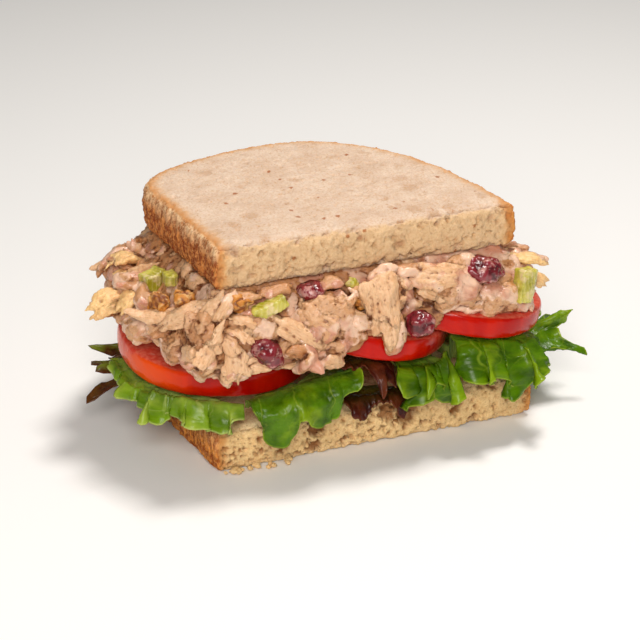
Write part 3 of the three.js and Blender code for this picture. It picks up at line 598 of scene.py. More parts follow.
def bread_relief(nodes, geometry, skin, openness, top, seed):
    """Crumb with open pores on the cut and the faces, and a rough crust round the side.

    The depth below the crust, the pores and the hollows are kept for bread_finish.
    """
    place = surface_place(nodes)
    drift = nodes.moved(place, seed * 91.0, seed * 37.0, seed * 53.0)
    x, y, z = nodes.parts(place)
    wrap = nodes.make("GeometryNodeObjectInfo", None, {"Object": skin}, "Geometry")
    away = nodes.make("GeometryNodeProximity", {"target_element": "FACES"}, {0: wrap}, "Distance") * 1000
    crust = away.falling(0.5, 1.7)
    cut = y.falling(CUT_Y + 0.9, CUT_Y + 2.2)
    bend = nodes.vector("SUBTRACT", nodes.noise(drift, 1.9, 3, 0.6, out="Color"), (0.5,) * 3)
    bent = nodes.vector("ADD", drift, nodes.scaled(bend, 4.4))

    def pores(size, share, open_to):
        """Bowl-shaped holes in some of the cells."""
        centre = nodes.cells(bent, size)
        luck = nodes.parts(nodes.cells(bent, size, out="Color"))[0]
        width = luck.rising(1 - share, 1.0) * open_to
        return (width - centre).rising(0.0, 0.3) * luck.rising(1 - share, 1 - share + 0.01)

    large = pores(6.8, 0.5, 0.66) * nodes.noise(drift, 9, 1).rising(0.36, 0.5)
    middle = pores(3.4, 0.7, 0.62)
    small = pores(1.9, 0.8, 0.58)
    torn = nodes.noise(bent, 3.0, 3, 0.6).rising(0.5, 0.66)
    open_crumb = (large * 2.8 + middle * 1.9 + small * 0.9 + torn * 0.5) * openness
    shallow = nodes.noise(drift, 8, 1).rising(0.5, 0.62)
    fine_crumb = middle * shallow * 0.4 + small * 0.42 + torn * 0.1
    grain = nodes.noise(drift, 0.95, 3, 0.65) - 0.5
    lumps = nodes.noise(drift, 2.4, 2) - 0.5
    swell = nodes.noise(drift, 12, 1) - 0.5
    crumb = lumps * (0.4 + cut * 0.7) + grain * (0.6 + cut * 0.5) - open_crumb * cut - fine_crumb
    crumb = crumb + (nodes.noise(drift, 5.5, 1) - 0.5) * cut * 1.8
    holes = (large * 0.9 + middle * 0.7 + small * 0.45).least(1.0) * (cut * openness + (1 - cut) * 0.42)
    brow = y.falling(CUT_Y - 0.5, CUT_Y + 4.5) * z.rising(top - 4, top - 0.5)
    crumb = crumb - brow * (nodes.noise(drift, 5, 2).rising(0.3, 0.7) * 2.0 + 0.5)
    streaked = nodes.stretched(drift, 1.0, 1.0, 0.6)
    blisters = nodes.noise(streaked, 1.5, 4, 0.65) - 0.5
    bark = blisters * 2.8 + (nodes.noise(streaked, 4.0, 1) - 0.5) * 1.4
    height = crumb * (1 - crust) + bark * crust + swell * 0.8
    geometry = kept(nodes, geometry, "crust_depth", away)
    geometry = kept(nodes, geometry, "hole", holes * (1 - crust))
    ragged = nodes.vector("SUBTRACT", nodes.noise(drift, 2.2, 3, 0.65, out="Color"), (0.5,) * 3)
    loose = nodes.scaled(ragged, (1 - crust) * (0.5 + cut * 0.9) * MM)
    geometry = nodes.make("GeometryNodeSetPosition", None, {"Geometry": geometry, "Offset": loose})
    geometry = pushed(nodes, geometry, height)
    # How hollow each point is, kept for the finish to paint shade into.
    return kept(nodes, geometry, "hollow", hollowness(nodes, 12))


def crumb_colour(nodes, place, colours):
    """Pale crumb, warmer on the cut, with painted shade in its pores, pits and hollows, and flecks of bran.
    """
    _, y, _ = nodes.parts(nodes.object_place())
    cut = y.falling(CUT_Y + 0.4, CUT_Y + 2.4)
    dark = colours["shade_strength"]
    crumb = nodes.mix(nodes.noise(place, 9, 3).rising(0.3, 0.7), colours["pale"], colours["cream"])
    crumb = nodes.mix(cut * 0.8, crumb, colours["cut"])
    crumb = nodes.mix(nodes.noise(place, 0.8, 3, 0.6).rising(0.4, 0.7) * 0.45, crumb, colours["tan"])
    # Painted shade: tiny dark pits, which have no depth of their own.
    pit_shade = nodes.cells(nodes.moved(place, 7.0, 0.0, 0.0), 1.3).falling(0.14, 0.3)
    pit_shade = pit_shade * nodes.noise(place, 4, 1).rising(0.4, 0.6)
    crumb = nodes.mix(pit_shade * 0.4, crumb, colours["hollow"])
    # Painted shade in the modelled pores and in the hollows of the crumb, as strong as deepening says.
    crumb = nodes.mix(nodes.stored("hole").rising(0.0, 0.8) * dark, crumb, colours["hollow"])
    crumb = nodes.mix(nodes.stored("hollow").rising(0.1, 1.1) * 0.6 * dark, crumb, colours["hollow"])
    bent = nodes.warped(place, 1.2, 2, 1.6)
    luck = nodes.parts(nodes.cells(bent, 6.5, out="Color"))[0]
    fleck = nodes.cells(bent, 6.5).falling(0.08, 0.17) * luck.rising(0.62, 0.66)
    return nodes.mix(fleck * 0.8, crumb, colours["bran"])


def crust_colour(nodes, place, colours):
    """Golden crust; at the left it is burnt below and lighter towards the rim, where light is painted on,
    and it has painted shade in its pits.
    """
    x, _, z = nodes.parts(nodes.object_place())
    mottle = nodes.noise(nodes.stretched(place, 1.0, 1.0, 0.6), 2.2, 4, 0.7)
    golden = nodes.mix(mottle.rising(0.35, 0.7), tint("b8641c"), tint("e6a250"))
    # Painted light: the upper crust at the left is painted paler, and so are its specks.
    upper = (z + (nodes.noise(place, 5, 2) - 0.5) * 5).rising(*colours["crust_heights"])
    lit = nodes.mix(mottle.rising(0.36, 0.6), tint("c07c44"), tint("fcd4a4"))
    dark = nodes.mix(mottle.rising(0.42, 0.62), colours["burnt"], colours["baked"])
    bark = nodes.mix(x.falling(-58, -40), golden, nodes.mix(upper, dark, lit))
    specks = nodes.noise(place, 0.9, 3, 0.65).rising(0.5, 0.62) * (upper * 0.15 + 0.45)
    bark = nodes.mix(specks, bark, nodes.mix(upper, tint("eaa866"), tint("ffdcb0")))
    # Painted shade in the hollows of the crust.
    return nodes.mix(nodes.stored("hollow").rising(0.1, 0.6) * 0.5, bark, tint("6a2c0c"))


def bread_finish(nodes, colours, seed):
    """Crumb that browns towards the crust."""
    place = nodes.moved(nodes.object_place(), seed * 11.0, 0.0, 0.0)
    depth = nodes.stored("crust_depth")
    wander = (nodes.noise(place, 3.0, 2) - 0.5) * 1.6
    edge = (depth + wander).falling(0.4, 1.6)
    glow = (depth + wander * 2).falling(0.8, 7.0)
    near = (depth + wander * 2.4).falling(0.6, 5.0)
    crumb = nodes.mix(glow * 0.5, crumb_colour(nodes, place, colours), tint("e2ac66"))
    crumb = nodes.mix(near * 0.75, crumb, tint("d0843a"))
    colour = nodes.mix(edge, crumb, crust_colour(nodes, place, colours))
    normal = nodes.bump(nodes.noise(place, 0.45, 3, 0.6), 0.5, 0.9)
    return nodes.surface(colour, 0.88 - edge * 0.2, normal, 0.25, under=(0.06, 1.0, (1.0, 0.6, 0.3)))


def model_slice(node, name, seed, pore, openness, colours):
    """A slice with pores down to the size of pore, in metres."""
    piece = copy_of(node, name)
    skin = crust_skin(piece)
    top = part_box(node)[1][2] / MM
    modify(piece, "REMESH", mode="VOXEL", voxel_size=pore)
    modify(piece, "SMOOTH", factor=0.8, iterations=14)
    carve(piece, bread_relief, skin, openness, top, seed)
    bpy.data.objects.remove(skin)
    thin_to(piece, SLICE_TRIANGLES)
    set_points(piece, np.maximum(points_of(piece), (-1, -1, 0)))
    hand_over(piece, [node], new_finish(name, bread_finish, colours, seed))


def model_crumbs(count, finish):
    """Loose crumbs on the ground by the front left corner of the bottom slice."""
    draw = random.Random(8)
    crumbs = []
    for i in range(count):
        big = draw.uniform(0.5, 1.5) * (1.5 if i < 3 else 1)
        at = (SLICE_LEFT + 8 + 24 * draw.random(), CUT_Y - 1.2 - 2.4 * draw.random() ** 2, 0.6 * big)
        along = (draw.uniform(-1, 1), draw.uniform(-1, 1), 0.1)
        crumbs.append((at, along, (0, 0, 1), (big, 0.8 * big, 0.6 * big), 0.2, 0.2, 2, 0.0, 0.5, 50 + i))
    piece = plates_mesh("crumbs", crumbs, 3)
    low = points_of(piece)[:, 2].min()
    set_points(piece, points_of(piece) - (0, 0, low))
    store_numbers(piece, "crust_depth", np.full(len(piece.data.vertices), 5.0))
    hand_over(piece, [], finish)


# ------------------------------------------------------------------ tomato


def tomato_axis(slope):
    return Vector((-slope[0], -slope[1], 1.0)).normalized()


def tomato_relief(nodes, geometry, at, radius, thick, slope, seed):
    """A faintly uneven skin; how far in from the skin and how high each point is are kept."""
    axis = tomato_axis(slope)
    place = nodes.vector("SUBTRACT", surface_place(nodes), at)
    high = nodes.dot(place, tuple(axis))
    flat = nodes.vector("SUBTRACT", place, nodes.scaled(tuple(axis), high))
    inward = radius - nodes.vector("LENGTH", flat, out="Value")
    geometry = kept(nodes, geometry, "inward", inward)
    geometry = kept(nodes, geometry, "high", high / thick)
    geometry = kept(nodes, geometry, "flat_place", flat, "FLOAT_VECTOR")
    drift = nodes.moved(place, seed * 40.0, 0.0, 0.0)
    face = inward.rising(1.0, 2.5)
    height = (nodes.noise(drift, 16, 1) - 0.5) * 0.5 + (nodes.noise(drift, 3, 2) - 0.5) * (face * 0.8)
    return pushed(nodes, geometry, height)


def tomato_finish(nodes, ripe, pulp, seed):
    """Glossy skin round pulp with chambers of gel and seeds, and a film of dressing on top."""
    place = nodes.object_place()
    inward = nodes.stored("inward")
    high = nodes.stored("high")
    flat = nodes.stored("flat_place", "Vector")
    drift = nodes.moved(flat, seed * 23.0, seed * 7.0, 0.0)
    streaks = nodes.noise(nodes.stretched(place, 1.0, 1.0, 0.3), 6, 3)
    x, y, z = nodes.parts(place)
    skin = nodes.mix(streaks.rising(0.35, 0.7), tint("b40a01"), ripe)
    skin = nodes.mix(x.falling(-82, -60) * 0.85, skin, tint("ee5810"))
    face = (inward - (nodes.noise(place, 2.5, 1) - 0.5) * 0.5).rising(0.7, 1.3)
    wall = nodes.mix(nodes.noise(drift, 1.6, 3).rising(0.35, 0.7), tint("d0402c"), pulp)
    chamber = nodes.cells(drift, 17).falling(0.22, 0.42) * inward.rising(7, 9)
    seeds = nodes.cells(drift, 3.4).falling(0.2, 0.3) * chamber
    gel = nodes.mix(seeds, tint("c23a16"), tint("e0b070"))
    flesh = nodes.mix(chamber, wall, gel)
    # A paler line along the cut edges: partly the pale layer under the skin, partly painted highlight.
    rim = high.rising(0.9, 0.985) + high.falling(0.015, 0.1)
    skin = nodes.mix(rim.least(1.0) * 0.55, skin, tint("dc5a40"))
    colour = nodes.mix(face, skin, flesh)
    film = nodes.noise(place, 4.5, 3).rising(0.5, 0.62) * inward.rising(3, 6) * high.rising(0.8, 0.95)
    colour = nodes.mix(film * 0.8, colour, tint("dfa594"))
    rough = 0.14 + face * 0.12 + nodes.noise(place, 4, 2) * 0.1
    normal = nodes.bump(nodes.noise(place, 1.1, 3), 0.12, 0.35)
    return nodes.surface(colour, rough, normal, 0.22, under=(0.08, 3, (1.0, 0.25, 0.12)))


def model_tomato(node, finish, seed):
    at, radius, thick, slope = TOMATOES[node]
    piece = copy_of(node, node + "_slice")
    modify(piece, "SUBSURF", levels=3, render_levels=3)
    carve(piece, tomato_relief, at, radius, thick, slope, seed)
    hand_over(piece, [node], finish)


# ------------------------------------------------------------------ lettuce


def tomato_underside(x, y):
    """The lowest tomato slice over each point, or a height above them all."""
    low = np.full_like(x, 40.0)
    for at, radius, _, slope in TOMATOES.values():
        dx = x - at[0]
        dy = y - at[1]
        under = at[2] + slope[0] * dx + slope[1] * dy
        low = np.where(np.hypot(dx, dy) < radius + 3, np.minimum(low, under), low)
    return low


def leaf_hang(leaf, s):
    if "edge" in leaf:
        places, reaches = np.array(leaf["edge"], float).T
        hang = sum(np.interp(s + shift, places, reaches) for shift in (-0.012, 0.0, 0.012)) / 3
    else:
        hang = np.full_like(s, float(leaf["least"]))
        for at, reach, wide in leaf["lobes"]:
            away = np.abs(s - at) / abs(wide)
            lobe = np.clip(1 - away, 0, 1) ** 1.3 if wide < 0 else np.exp(-0.5 * away**2)
            hang = np.maximum(hang, reach * lobe)
        hang = hang * np.clip(np.minimum(s, 1 - s) / 0.06, 0.1, 1) ** 0.5
    # Small teeth all along the free edge.
    teeth = np.sin(2 * np.pi * 9 * s + 2 * np.sin(13 * s)) + 0.6 * np.sin(2 * np.pi * 17 * s + 1)
    return hang + leaf["teeth"] * teeth


def leaf_points(leaf, s, t):
    """Where each point of a leaf lies, and its place along, out and in from the free edge."""
    # The rim line, and the ways along it and out from it.
    start = np.array(leaf["start"], float)
    end = np.array(leaf["end"], float)
    run = end - start
    out = np.array((run[1], -run[0])) / np.hypot(*run)
    middle = (start + end) / 2 + 2 * leaf["bow"] * out
    s_ = s[:, None]
    at = (1 - s_) ** 2 * start + 2 * s_ * (1 - s_) * middle + s_**2 * end
    along = 2 * (1 - s_) * (middle - start) + 2 * s_ * (end - middle)
    along /= np.linalg.norm(along, axis=1, keepdims=True)
    outward = np.stack((along[:, 1], -along[:, 0]), 1)
    # How far out each point is, and how it turns down on the way there.
    rounded = np.sin(np.pi * np.clip(s, 0.03, 0.97)) ** 0.45
    hang = leaf_hang(leaf, s)
    tuck = leaf["tuck"] * rounded
    d = -tuck + (hang + tuck) * t
    first, last = np.radians(leaf["fall"])
    bend = (last - first) / leaf["over"]
    angle = first + bend * np.clip(d, 0, leaf["over"])
    beyond = np.where(d > 0, np.maximum(d - leaf["over"], 0), d)
    reach = (np.sin(angle) - np.sin(first)) / bend + beyond * np.cos(angle)
    drop = (np.cos(first) - np.cos(angle)) / bend + beyond * np.sin(angle) * np.where(d < 0, 0.2, 1)
    # Waves that grow towards the free edge, and frills on it.
    growth = np.clip((d + 4) / (hang + 4), 0, 1) ** 1.4 * np.clip(hang / 10, 0, 1)
    turn = 2 * np.pi * leaf["waves"] * s + leaf["phase"]
    rise = leaf["wave"] * growth * (np.sin(turn) + 0.35 * np.sin(2.3 * turn + 1))
    margin = np.clip(1 - (hang - d) / 7, 0, 1) ** 1.6
    rise = rise + leaf["frill"] * margin * (np.sin(3.3 * turn + 0.6) + 0.5 * np.sin(7.3 * turn + 2))
    shift = leaf["curl"] * leaf["wave"] * growth * np.sin(2 * turn + 0.7)
    shift = shift + 0.7 * leaf["frill"] * margin * np.sin(6.1 * turn + 1.4)
    crumple = leaf["fold"] * np.clip(-d / 6, 0, 1) * np.sin(d / 3.2 + 2 * np.sin(5 * s))
    crumple = crumple + 2 * np.exp(-(((d + 1) / 4) ** 2)) * (leaf["fold"] == 0)
    far = reach + rise * np.sin(angle)
    x = at[:, 0] + outward[:, 0] * far + along[:, 0] * shift
    y = at[:, 1] + outward[:, 1] * far + along[:, 1] * shift
    low, high = leaf["level"]
    z = low + (high - low) * s - drop + crumple + rise * np.cos(angle)
    # It lies on the bottom slice, or hangs beside it, and stays under the tomato.
    over = (y > CUT_Y - 1.6) & (x > SLICE_LEFT - 2.5) & (x < SLICE_RIGHT + 1.5)
    floor = np.where(over, SLICE_TOP + 1.3, 3.0)
    z = np.clip(z, floor, np.maximum(tomato_underside(x, y) - 1.0, floor))
    length = np.hypot(*run)
    return np.stack((x, y, z), 1), np.stack((s * length, d, hang - d), 1), rise / max(leaf["wave"], 1)


def leaf_relief(nodes, geometry, seed):
    """The blade puckers up between its veins."""
    vectors = {"data_type": "FLOAT_VECTOR"}
    where = nodes.make("GeometryNodeInputNamedAttribute", vectors, {"Name": "leaf_place"})
    flat = nodes.stretched(where, 1.0, 1.0, 0.0)
    flat = nodes.moved(flat, seed * 31.0, seed * 17.0, 0.0)
    bent = nodes.warped(flat, 6, 2, 4.0)
    pucker = nodes.cells(bent, 6.5, "SMOOTH_F1")
    soft = nodes.noise(flat, 8, 2) - 0.5
    fine = nodes.noise(bent, 2.8, 3, 0.6) - 0.5
    inner = nodes.parts(where)[2].rising(0.0, 3.0)
    return pushed(nodes, geometry, (0.55 - pucker) * (inner * 1.1) + soft * 2.2 + fine * 1.5)


def leaf_finish(nodes, colours, seed):
    """A veined blade, with painted highlight on its crests over patches of its own brighter green, pale
    towards its heart, that light shines through.
    """
    where = nodes.stored("leaf_place", "Vector")
    crest = nodes.stored("crest")
    along, out, inside = nodes.parts(where)
    flat = nodes.joined(along + seed * 31.0, out + seed * 17.0, 0.0)
    bent = nodes.warped(flat, 7, 3, 7.0)
    net = nodes.cells(bent, 7.5, "DISTANCE_TO_EDGE").falling(0.0, 0.035)
    fine = nodes.cells(bent, 2.4, "DISTANCE_TO_EDGE").falling(0.0, 0.06)
    sway = (nodes.noise(flat, 12, 2) - 0.5) * 12
    rib = ((along + sway) / 13 + seed * 0.37).maths("FRACT")
    rib = (rib - 0.5).size()
    main = rib.falling(0.008, 0.034) * inside.rising(1.0, 8.0)
    veins = (main + net * 0.5 * nodes.noise(flat, 9, 1).rising(0.4, 0.6) + fine * 0.14).least(1.0)
    patch = nodes.noise(nodes.moved(flat, 40.0, 0.0, 0.0), 7, 3)
    blade = nodes.mix(patch.rising(0.35, 0.65), colours["deep"], colours["leaf"])
    # Painted highlight on the crests of the waves, over noise patches that are the leaf's own brighter
    # green.
    brighter = (crest * 0.35 + nodes.noise(flat, 4.5, 2)).rising(0.45, 0.95)
    blade = nodes.mix(brighter * 0.8, blade, colours["bright"])
    blade = nodes.mix(veins * 0.45, blade, colours["vein"])
    heart = out.falling(-12, 5)
    blade = nodes.mix(heart * 0.5, blade, colours["heart"])
    edge = (inside + (nodes.noise(flat, 1.4, 2) - 0.5) * 0.6).falling(0.15, 0.75)
    colour = nodes.mix(edge * 0.6, blade, colours["edge"])
    rough = 0.16 + nodes.noise(flat, 2.5, 2) * 0.2
    height = 1 - veins * 0.5 + nodes.noise(flat, 0.9, 3) * 0.45
    blade_shader = nodes.surface(colour, rough, nodes.bump(height, 0.25, 0.7), 0.28)
    through = nodes.make("ShaderNodeBsdfTranslucent", None, {"Color": colours["through"]})
    return nodes.make("ShaderNodeMixShader", None, {0: 0.3, 1: blade_shader, 2: through})


def model_leaf(node, seed, thick, finish):
    leaf = {**USUAL_LEAF, **LEAVES[node]}
    length = math.hypot(leaf["end"][0] - leaf["start"][0], leaf["end"][1] - leaf["start"][1])
    deepest = leaf["tuck"] + max(hang for _, hang, *_ in (*leaf["lobes"], *leaf.get("edge", ()), (0, 6)))
    bpy.ops.object.select_all(action="DESELECT")
    across = round(length / 0.42)
    bpy.ops.mesh.primitive_grid_add(x_subdivisions=across, y_subdivisions=round(deepest / 0.6), size=1)
    piece = bpy.context.object
    piece.name = node + "_leaf"
    grid = points_of(piece)
    points, where, crest = leaf_points(leaf, grid[:, 0] + 0.5, grid[:, 1] + 0.5)
    set_points(piece, points * MM)
    store_vectors(piece, "leaf_place", where)
    # How high each point rides on the waves, which the finish paints highlight onto.
    store_numbers(piece, "crest", crest)
    carve(piece, leaf_relief, seed)
    modify(piece, "SOLIDIFY", thickness=thick, offset=0.0)
    in_edit_mode(piece, (bpy.ops.mesh.normals_make_consistent, {"inside": False}))
    hand_over(piece, [node], finish)


# ------------------------------------------------------------------ chicken salad


def turned(yaw, pitch):
    """The turn that tilts the X axis up by pitch and then swings it round by yaw, in degrees."""
    return Matrix.Rotation(math.radians(yaw), 4, "Z") @ Matrix.Rotation(math.radians(-pitch), 4, "Y")


def outline_waves(angle, draw):
    """A closed uneven line round a piece, as a factor on its radius."""
    edge = np.ones_like(angle)
    for count in range(2, 9):
        edge += 0.17 / count**0.6 * draw.uniform(-1, 1) * np.cos(count * angle + draw.uniform(0, 6.3))
    return edge


def torn_plate(unit, at, along, facing, half, taper, fringe, fingers, bend, seed):
    """Points of a torn piece of meat, in millimetres, and its grain: places with X along the fibres."""
    draw = random.Random(seed)
    x, y, z = unit.T
    long, wide, thick = half
    ring = np.hypot(x, y)
    angle = np.arctan2(y, x)
    edge = outline_waves(angle, draw) / (np.abs(np.cos(angle)) ** 3 + np.abs(np.sin(angle)) ** 3) ** 0.33
    comb = np.sin((fingers * y + 0.35 * np.sin(5 * y + seed)) * np.pi + draw.uniform(0, 6.3))
    comb = comb + 0.45 * np.sin(2.7 * fingers * y * np.pi + draw.uniform(0, 6.3))
    tip = np.clip((np.abs(x) - 0.15) / 0.85, 0, 1) ** 1.5 * np.where(x > 0, 1, 0.6)
    reach = 1 + 0.65 * fringe * comb * tip
    across = y * edge * (1 - taper * np.clip(x + 0.4, -0.4, 1.4) / 1.4)
    length = x * edge * reach
    ridges = relief(length * 2, across * wide, across * 0, 0.42, seed)
    body = np.sign(z) * np.abs(z) ** 0.6 * (1 + 0.28 * ridges) * (1.12 - 0.5 * ring**3)
    curl = bend * long * (length**2 - 0.3) + draw.uniform(-0.35, 0.35) * wide * length * across
    curl = curl + 0.5 * thick * relief(length * long, across * wide, across * 0 + seed, 1.9, seed)
    local = np.stack((length * long, across * wide, body * thick - curl), 1)
    along = Vector(along).normalized()
    facing = Vector(facing)
    facing = (facing - along * facing.dot(along)).normalized()
    axes = np.array((along, facing.cross(along), facing))
    return local @ axes + np.array(at), local + 57.0 * seed


def plates_mesh(name, plates, fineness):
    """One mesh of many plates, with the grain and the tone of each, which is partly painted shade, kept on
    its points.
    """
    bpy.ops.object.select_all(action="DESELECT")
    bpy.ops.mesh.primitive_ico_sphere_add(subdivisions=fineness, radius=1)
    ball = bpy.context.object
    unit = points_of(ball)
    corners = np.array([face.vertices for face in ball.data.polygons])
    bpy.data.objects.remove(ball)
    made = [torn_plate(unit, *shape, seed) for *shape, tone, seed in plates]
    points = np.concatenate([points for points, grain in made]) * MM
    faces = np.concatenate([corners + i * len(unit) for i in range(len(plates))])
    mesh = bpy.data.meshes.new(name)
    mesh.from_pydata(points.tolist(), [], faces.tolist())
    piece = bpy.data.objects.new(name, mesh)
    bpy.context.scene.collection.objects.link(piece)
    store_vectors(piece, "grain", np.concatenate([grain for points, grain in made]))
    store_numbers(piece, "tone", np.repeat([plate[-2] for plate in plates], len(unit)))
    return piece


def cover():
    """The top slice, for asking what lies under it."""
    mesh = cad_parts["bread_top"].data
    return BVHTree.FromPolygons([v.co for v in mesh.vertices], [f.vertices for f in mesh.polygons])


def salad_seats(heap, lid, count, seed):
    """Random places on the sides and the shoulder of the heap, with the normal there."""
    draw = random.Random(seed)
    ways = [Vector(way) * (8 * MM) for way in ((1, 0, 0), (-1, 0, 0), (0, 1, 0), (0, -1, 0))]
    faces = []
    for face in heap.data.polygons:
        hidden = all(lid.ray_cast(face.center + way, Vector((0, 0, 1)))[0] for way in ways)
        low = 38 if face.center.y < 0.016 else 25
        if face.normal.z > -0.8 and face.center.z > low * MM and not hidden:
            faces.append(face)
    weights = [face.area * (1 + 1.5 * max(face.normal.z, 0)) for face in faces]
    chosen = draw.choices(faces, weights=weights, k=count)
    seats = []
    for face in chosen:
        corners = [heap.data.vertices[i].co for i in face.vertices]
        shares = [draw.random() + 0.05 for _ in corners]
        place = sum((c * share for c, share in zip(corners, shares)), Vector()) / sum(shares)
        seats.append((place / MM, face.normal.copy()))
    return seats


def clear_of_fruit(place, reach):
    """True where a scrap of the given reach leaves the berries, celery and nuts in view."""
    for node in (*BERRIES, *CELERY, *WALNUTS):
        low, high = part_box(node)
        near = Vector(max(low[i] / MM - place[i], place[i] - high[i] / MM, 0) for i in range(3))
        if near.length < reach:
            return False
    return True


def clear_of_plates(place):
    """True where a scrap leaves the large torn plates in view."""
    for at, along, facing, half, *_ in TORN:
        along = Vector(along).normalized()
        facing = Vector(facing)
        facing = (facing - along * facing.dot(along)).normalized()
        away = place - Vector(at)
        inside = (away.dot(along) / half[0]) ** 2 + (away.dot(facing.cross(along)) / half[1]) ** 2
        if inside < 0.9 and -3 < away.dot(facing) < 8:
            return False
    return True


def combing(place):
    """The usual slope of the shreds at a place on the front, in degrees up towards +X."""
    places = (-80, -58, -52, -14, -9, 4, 12, 60)
    slopes = (28, 35, -30, -32, -80, -80, -14, -12)
    return float(np.interp(place[0], places, slopes))


def salad_floor(place):
    """The height that the shreds don't hang below at a place."""
    if place[1] > 10:
        return 22
    return float(np.interp(place[0], (-80, -24, -20, 16, 18, 60), (34, 34, 48.6, 41.4, 50, 41)))


def strips(heap, count, long, slim, flat, seed):
    """Torn strips laid over the sides of the heap, mostly combed one way."""
    draw = random.Random(seed)
    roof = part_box("bread_top")[0][2] / MM - 0.2
    lid = cover()
    plates = []
    for i, (place, normal) in enumerate(salad_seats(heap, lid, count, seed)):
        length = draw.uniform(*long)
        half = (length, length * draw.uniform(*slim), length * draw.uniform(*flat))
        side = normal.cross(Vector((0, 0, 1))).normalized()
        up = side.cross(normal)
        front = normal.y < -0.3
        angle = math.radians(combing(place) + draw.gauss(0, 28) if front else draw.uniform(-75, 75))
        along = up * math.sin(angle) - side * math.cos(angle)
        along = along * draw.choice((-1, 1)) + normal * draw.uniform(-0.12, 0.3)
        facing = normal + up * draw.uniform(-0.2, 0.6) + side * draw.uniform(-0.4, 0.4)
        at = place + normal * half[2] * draw.uniform(-0.5, 0.9)
        along.normalize()
        across = facing.cross(along).normalized()
        tall = math.hypot(half[0] * along.z, half[1] * across.z, half[2] * across.cross(along).z)
        under = any(
            lid.ray_cast((at + along * (length * part) - Vector((0, 0, 9))) * MM, Vector((0, 0, 1)))[0]
            for part in (-0.9, 0, 0.9)
        )
        if not STRIPS_LEFT < at.x < STRIPS_RIGHT or at.z - tall < salad_floor(at):
            continue
        if at.z + tall > (roof if under else roof + STRIPS_RISE):
            continue
        if not clear_of_fruit(at, 0.62 * length + 0.5) or not clear_of_plates(at):
            continue
        tone = draw.uniform(0.15, 1.0)
        taper = draw.uniform(0, 0.6)
        fringe = draw.uniform(0.1, 0.4)
        fingers = draw.choice((1, 2, 3))
        bend = draw.uniform(-0.35, 0.35)
        plates.append((at, along, facing, half, taper, fringe, fingers, bend, tone, seed + i))
    return plates


def salad_relief(nodes, geometry, grains, strong):
    """Fibres along each piece's own grain, with dressing smoothed over some of them."""
    where = surface_place(nodes)
    wrap = nodes.make("GeometryNodeObjectInfo", None, {"Object": grains}, "Geometry")
    vectors = {"data_type": "FLOAT_VECTOR"}
    grain = nodes.make("GeometryNodeInputNamedAttribute", vectors, {"Name": "grain"})
    grain = nodes.make("GeometryNodeSampleNearestSurface", vectors, {"Mesh": wrap, "Value": grain})
    numbers = {"data_type": "FLOAT"}
    tone = nodes.make("GeometryNodeInputNamedAttribute", numbers, {"Name": "tone"})
    tone = nodes.make("GeometryNodeSampleNearestSurface", numbers, {"Mesh": wrap, "Value": tone})
    bent = nodes.warped(grain, 3.5, 2, 1.2)
    long = nodes.stretched(bent, 0.2, 1.0, 1.0)
    strands = nodes.noise(long, 0.95, 2, 0.6)
    bundles = nodes.noise(long, 2.2, 1)
    x, y, z = nodes.parts(where)
    wetter = x.rising(0, 40) * 0.07 + z.falling(38, 52) * x.falling(-40, -15) * 0.08
    dressing = (nodes.noise(where, 8, 2, 0.55) + wetter).rising(0.47, 0.6) * tone.falling(0.7, 0.95)
    lumps = nodes.noise(where, 3.0, 3, 0.6) - 0.5
    height = (strands - 0.5) * (1.7 - dressing * 1.4) + (bundles - 0.5) * (1.5 - dressing * 0.9)
    grit = (nodes.noise(where, 1.6, 2, 0.6) - 0.5) * (1 - dressing * 0.6)
    height = (height + lumps * 2.4 + grit * 1.6) * strong + dressing * 0.3
    geometry = kept(nodes, geometry, "grain", grain, "FLOAT_VECTOR")
    geometry = kept(nodes, geometry, "tone", tone)
    geometry = kept(nodes, geometry, "dressing", dressing)
    geometry = pushed(nodes, geometry, height)
    # Hollowness near and far is kept for painted shade in the finish.
    geometry = kept(nodes, geometry, "hollow", hollowness(nodes, 8))
    return kept(nodes, geometry, "deep", hollowness(nodes, 70))


